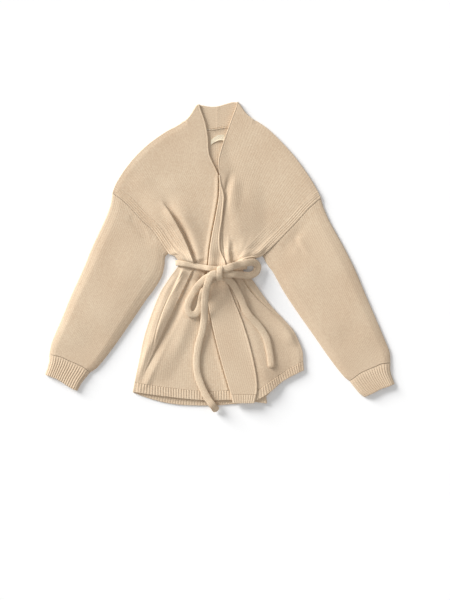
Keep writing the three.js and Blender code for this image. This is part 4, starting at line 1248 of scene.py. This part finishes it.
def belt_waist(run):
    """The pressed belt round the waist: over the fronts, down both sides and under the back."""
    half = belt_pressed / 2
    start = waist_sides["right"] - half - belt_clear
    end = waist_sides["left"] + half + belt_clear
    rest = [[end - belt_clear, 17], [end, 9], [end - 5, half], [-20, half], [start + 5, half],
            [start, 9], [start + belt_clear, 17]]
    under = np.array([[x, float(at(belt_line, "y", x)), z] for x, z in rest])
    places, ways = smooth_run(np.vstack([run, under, run[:1]]), 6)
    places, ways = places[:-1], ways[:-1]
    places[:, 2] = np.maximum(places[:, 2], half)
    ways[:, 1] = 0
    ways = unit(ways)
    out = np.column_stack([-ways[:, 2], np.zeros(len(ways)), ways[:, 0]])
    across, rise = oval(belt_sides, 0.8)
    rings = (places[:, None] + out[:, None] * (rise * half)[:, None]
             + np.array([0, 1, 0]) * (across * belt_pulled / 2)[:, None])
    return tube_mesh("belt_waist_knit", rings, belt_cotton(), True, run_along(places))


def knot_turn():
    """The turn of the belt, an arch over the core."""
    places, ways = smooth_run(through(knot_arch), 8)
    wide = np.interp(np.linspace(0, 1, len(places)), np.linspace(0, 1, len(knot_arch)),
                     [row["wide"] for row in knot_arch])
    side = np.tile([1.0, 0, 0], (len(places), 1))
    up = unit(np.cross(side, ways))
    up *= np.sign((up * (places - knot_middle)).sum(axis=1))[:, None]
    across, rise = oval(belt_sides, 0.85)
    rings = (places[:, None] + side[:, None] * (across[:, None] * (wide / 2)[:, None, None])
             + up[:, None] * (rise * knot_thick / 2)[:, None])
    return tube_mesh("belt_knot_knit", rings, belt_cotton(), False, run_along(places))


def knot_inside():
    """The gathered middle of the bow, which the turn goes over."""
    y = np.linspace(knot_core[0]["y"], knot_core[-1]["y"], 24)
    wide, low, high = (np.interp(y, [row["y"] for row in knot_core], [row[k] for row in knot_core])
                       for k in ("wide", "low", "high"))
    across, rise = oval(belt_sides, 0.85)
    rings = np.stack([
        knot_core_x + across * (wide / 2)[:, None], np.broadcast_to(y[:, None], (len(y), belt_sides)),
        ((low + high) / 2)[:, None] + rise * ((high - low) / 2)[:, None]], -1)
    return tube_mesh("belt_knot_core", rings, belt_cotton(), False, y - y[0])


# Stitches along the seams: small loops of yarn that follow a line
def stitch_tree(material):
    """Node tree that lays one plump stitch at every pitch of a line."""
    tree = bpy.data.node_groups.new("seam stitches", "GeometryNodeTree")
    face = tree.interface
    face.new_socket("Geometry", in_out="INPUT", socket_type="NodeSocketGeometry")
    for name, value in (("Pitch", 0.005), ("Length", 0.004), ("Thickness", 0.001), ("Turn", 0.0)):
        face.new_socket(name, in_out="INPUT", socket_type="NodeSocketFloat").default_value = value
    face.new_socket("Geometry", in_out="OUTPUT", socket_type="NodeSocketGeometry")
    given = node(tree, "NodeGroupInput")
    resample = node(tree, "GeometryNodeResampleCurve",
                    {"Curve": given.outputs["Geometry"], "Length": given.outputs["Pitch"]},
                    mode="LENGTH")
    tangent = node(tree, "GeometryNodeInputTangent")
    level = node(tree, "FunctionNodeAlignRotationToVector", {"Vector": tangent.outputs[0]}, axis="X")
    spin = node(tree, "ShaderNodeCombineXYZ", {"Z": given.outputs["Turn"]})
    turned = node(tree, "FunctionNodeRotateRotation",
                  {"Rotation": level.outputs[0], "Rotate By": spin.outputs[0]},
                  rotation_space="LOCAL")
    loop = node(tree, "GeometryNodeMeshUVSphere", {"Segments": 8, "Rings": 5, "Radius": 0.5})
    size = node(tree, "ShaderNodeCombineXYZ",
                {"X": given.outputs["Length"], "Y": given.outputs["Thickness"],
                 "Z": given.outputs["Thickness"]})
    laid = node(tree, "GeometryNodeInstanceOnPoints",
                {"Points": resample.outputs[0], "Instance": loop.outputs["Mesh"],
                 "Rotation": turned.outputs[0], "Scale": size.outputs[0]})
    real = node(tree, "GeometryNodeRealizeInstances", {"Geometry": laid.outputs[0]})
    yarned = node(tree, "GeometryNodeSetMaterial", {"Geometry": real.outputs[0], "Material": material})
    node(tree, "NodeGroupOutput", {"Geometry": yarned.outputs[0]})
    return tree


def stitches(name, lines, sizes, material):
    """Mesh of the stitches along some lines of points."""
    curve = bpy.data.curves.new(name, "CURVE")
    curve.dimensions = "3D"
    for line in lines:
        places, _ = smooth_run(line, 6)
        spline = curve.splines.new("POLY")
        spline.points.add(len(places) - 1)
        flat = np.column_stack([(places + drawn_from) * mm, np.ones(len(places))])
        spline.points.foreach_set("co", flat.ravel())
    holder = bpy.data.objects.new(name + "_line", curve)
    bpy.context.scene.collection.objects.link(holder)
    tree = stitch_tree(material)
    modifier = holder.modifiers.new("stitches", "NODES")
    modifier.node_group = tree
    for socket in tree.interface.items_tree:
        if socket.in_out == "INPUT" and socket.name in sizes:
            modifier[socket.identifier] = sizes[socket.name]
    ready = holder.evaluated_get(bpy.context.evaluated_depsgraph_get())
    mesh = bpy.data.meshes.new_from_object(ready)
    holder.modifiers.clear()
    bpy.data.objects.remove(holder)
    piece = bpy.data.objects.new(name, mesh)
    bpy.context.scene.collection.objects.link(piece)
    mesh.polygons.foreach_set("use_smooth", [True] * len(mesh.polygons))
    return piece


def neck_stitches():
    """A row of stitches along the middle of the neck seam. Real ones are finer, and these are
    drawn as coarse as they need to show."""
    line = [[x, float(spot(neck_seam, (x - neck_stitched["from"]) / neck_stitched["wide"])[1])
             + neck_stitched["above"], neck_stitched["z"]] for x in neck_stitched["places"]]
    sizes = {"Pitch": 0.0034, "Length": 0.0044, "Thickness": 0.0018, "Turn": 0.35}
    return stitches("neck_stitches", [line], sizes, seam_yarn())


# Materials
def linear(colour):
    """sRGB hex colour as linear red, green, blue and alpha."""
    parts = [int(colour[i:i + 2], 16) / 255 for i in (1, 3, 5)]
    return [p / 12.92 if p <= 0.04045 else ((p + 0.055) / 1.055) ** 2.4 for p in parts] + [1]


def node(tree, kind, inputs=None, **settings):
    """Adds a node with its settings, and links or sets its inputs."""
    made = tree.nodes.new(kind)
    for key, value in settings.items():
        setattr(made, key, value)
    for socket, value in (inputs or {}).items():
        if isinstance(value, bpy.types.NodeSocket):
            tree.links.new(value, made.inputs[socket])
        else:
            made.inputs[socket].default_value = value
    return made


def blank_material(name):
    material = bpy.data.materials.get(name)
    if material:
        return material, None
    material = bpy.data.materials.new(name)
    material.use_nodes = True
    material.node_tree.nodes.clear()
    return material, material.node_tree


def maths(tree, operation, *values):
    """Result of a math node on sockets and numbers."""
    return node(tree, "ShaderNodeMath", dict(enumerate(values)), operation=operation).outputs[0]


def mixed(tree, share, light, shade):
    """Colour from light to shade by a share."""
    return node(tree, "ShaderNodeMix", {"Factor": share, 6: linear(light), 7: linear(shade)},
                data_type="RGBA").outputs[2]


def finished(tree, **inputs):
    """Ends a material in a plain surface with these inputs."""
    named = {name.replace("_", " "): value for name, value in inputs.items()}
    surface = node(tree, "ShaderNodeBsdfPrincipled", named)
    node(tree, "ShaderNodeOutputMaterial", {"Surface": surface.outputs[0]})


def knit_material(name, light, shade, relief_mm, stitch):
    """Plain knit: columns of stitches from the piece's own map, soft fuzz and a little uneven tone. The
    grooves between the columns are also painted a little darker, as painted shade. The columns are
    coarser than the real ones, which are too fine to show."""
    material, tree = blank_material(name)
    if tree is None:
        return material
    uv = node(tree, "ShaderNodeUVMap", uv_map="knit")
    split = node(tree, "ShaderNodeSeparateXYZ", {0: uv.outputs[0]})
    part = maths(tree, "FRACT", split.outputs[0])
    half = maths(tree, "ABSOLUTE", maths(tree, "SUBTRACT", part, 0.5))
    across = maths(tree, "MULTIPLY", half, 2.0)
    groove = maths(tree, "POWER", across, 3.0)
    ridge = maths(tree, "SUBTRACT", 1.0, groove)
    slant = maths(tree, "MULTIPLY_ADD", across, 0.5, split.outputs[1])
    wave = maths(tree, "SINE", maths(tree, "MULTIPLY", slant, 2 * math.pi))
    stitched = maths(tree, "MULTIPLY_ADD", wave, stitch, ridge)
    place = node(tree, "ShaderNodeTexCoord").outputs["Object"]
    fuzz = node(tree, "ShaderNodeTexNoise", {"Vector": place, "Scale": 420.0, "Detail": 3.0})
    height = maths(tree, "MULTIPLY_ADD", fuzz.outputs[0], 0.5, stitched)
    raised = node(tree, "ShaderNodeBump",
                  {"Height": height, "Distance": relief_mm * mm, "Strength": 1.0})
    patches = node(tree, "ShaderNodeTexNoise", {"Vector": place, "Scale": 9.0, "Detail": 1.0})
    fibres = node(tree, "ShaderNodeTexNoise", {"Vector": place, "Scale": 330.0, "Detail": 3.0})
    mottle = maths(tree, "MULTIPLY_ADD", patches.outputs[0], 0.5, fibres.outputs[0])
    uneven = node(tree, "ShaderNodeMapRange", {0: mottle, 1: 0.5, 2: 1.0, 3: 0.0, 4: 0.6})
    # Random uneven tone of the yarn, plus painted shade that darkens the grooves between the stitch
    # columns
    groove_shade_and_tone = maths(tree, "MULTIPLY_ADD", groove, 0.12, uneven.outputs[0])
    finished(tree, Base_Color=mixed(tree, groove_shade_and_tone, light, shade), Normal=raised.outputs[0],
             Roughness=0.92, Specular_IOR_Level=0.25, Sheen_Weight=0.12, Sheen_Roughness=0.5)
    return material


def knit_cotton():
    """Thick matte cotton in plain knit: fine columns, soft grain, no shine."""
    return knit_material("plain knit cotton", "#ddc9ae", "#bfa184", 0.18, 0.25)


def rib_cotton():
    """The same cotton in rib: the ribs are in the mesh, the stitches on them in the grain."""
    return knit_material("rib knit cotton", "#ddc9ae", "#bfa184", 0.2, 0.35)


def belt_cotton():
    """Tubular knit of the belt, closer and a little lighter, columns along its length."""
    return knit_material("tubular knit cotton", "#decbb0", "#c3a486", 0.26, 0.3)


def seam_yarn():
    """Linking yarn of the seams: a single matte strand, slightly lighter than the knit."""
    material, tree = blank_material("linking yarn")
    if tree is None:
        return material
    place = node(tree, "ShaderNodeTexCoord").outputs["Object"]
    noise = node(tree, "ShaderNodeTexNoise", {"Vector": place, "Scale": 300.0})
    finished(tree, Base_Color=mixed(tree, noise.outputs[0], "#ebdcc6", "#dac7ac"), Roughness=0.9,
             Specular_IOR_Level=0.25)
    return material


def cotton_tape():
    """Woven cotton tape of the neck label, left blank: a fine plain weave with a soft sheen."""
    material, tree = blank_material("woven cotton tape")
    if tree is None:
        return material
    uv = node(tree, "ShaderNodeUVMap", uv_map="knit")
    weave = node(tree, "ShaderNodeTexChecker", {"Vector": uv.outputs[0], "Scale": 2.0,
                                                "Color1": (1, 1, 1, 1), "Color2": (0, 0, 0, 1)})
    raised = node(tree, "ShaderNodeBump", {"Height": weave.outputs[1], "Distance": 0.05 * mm})
    finished(tree, Base_Color=mixed(tree, weave.outputs[1], "#ecdfc6", "#e2d3b6"),
             Normal=raised.outputs[0], Roughness=0.7)
    return material


def pale_floor():
    """Smooth matte white paper."""
    material, tree = blank_material("white paper")
    if tree is None:
        return material
    finished(tree, Base_Color=linear("#fbfbfb"), Roughness=1.0, Specular_IOR_Level=0.0)
    return material


# Camera, floor and light
floor_reach = 4000


def camera():
    """Straight above, far enough for an almost flat view, over the middle of the picture."""
    high, field, aim = 4.0, 1.410, (0.0121, -0.1088)
    lens = bpy.data.cameras.new("camera")
    lens.sensor_width = 36
    lens.lens = lens.sensor_width * high / field
    holder = bpy.data.objects.new("camera", lens)
    holder.location = (*aim, high)
    bpy.context.scene.collection.objects.link(holder)
    bpy.context.scene.camera = holder


def floor():
    corners = np.array([[-1, -1, 0], [1, -1, 0], [1, 1, 0], [-1, 1, 0]])
    points = floor_reach * corners - drawn_from
    mesh_piece("floor", points, [(0, 1, 2, 3)], pale_floor())


def sun(name, towards, strength, spread):
    light = bpy.data.lights.new(name, "SUN")
    light.energy, light.angle = strength, math.radians(spread)
    holder = bpy.data.objects.new(name, light)
    holder.rotation_euler = Vector(towards).to_track_quat("-Z", "Y").to_euler()
    bpy.context.scene.collection.objects.link(holder)


def lights():
    """A low, broad key from the upper left, a gentle one from above, and even light all round."""
    sun("key", (1, -0.78, -0.44), 5.0, 26)
    sun("top", (-0.1, 0.4, -1), 0.35, 50)
    world = bpy.data.worlds.new("studio")
    world.use_nodes = True
    background = world.node_tree.nodes["Background"]
    background.inputs["Color"].default_value = (1, 1, 1, 1)
    background.inputs["Strength"].default_value = 0.43
    bpy.context.scene.world = world
    bpy.context.scene.view_settings.view_transform = "Standard"


def declare(piece, nodes):
    """Rides on the one body and stands for its solids."""
    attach(piece, "root")
    if nodes:
        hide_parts(*nodes)


def declare_cloth(piece, solid):
    """Rides on the one body and stands for its one solid, as declare does."""
    declare(piece, [solid])


# Making: camera and belt first, then the body, sleeves, cuffs, hem bands and the neck
camera()
floor()
lights()
strands = {
    "belt_end_right": (right_end_route, [0], True),
    "belt_end_left": (left_end_route, [0], True),
    "belt_loop_right": (right_loop_route, [0, -1], False),
    "belt_loop_left": (left_loop_route, [0, -1], False),
}
lengths = {solid: belt_length(f"{solid}_knit", *strand) for solid, strand in strands.items()}
for solid, length in lengths.items():
    declare(length, [solid])
declare(belt_waist(waist_run()), ["belt_waist"])
declare(knot_turn(), ["belt_knot"])
declare(knot_inside(), [])
declare_cloth(back(), "back")
declare_cloth(front_right(), "front_right")
declare_cloth(front_left(), "front_left")
for side in ("right", "left"):
    declare_cloth(sleeve(side), f"sleeve_{side}")
for side in ("right", "left"):
    declare_cloth(cuff(side), f"cuff_{side}")
declare_cloth(hem_band("hem_back_cloth", panels["back"], back_hem_edge, 400, back_under, [0, 1]),
              "hem_back")
declare_cloth(hem_band("hem_right_cloth", panels["right"], right_hem_edge, 310, right_under, [0]),
              "hem_right")
declare_cloth(hem_left(), "hem_left")
declare_cloth(label(), "label")
declare(neck_stitches(), [])
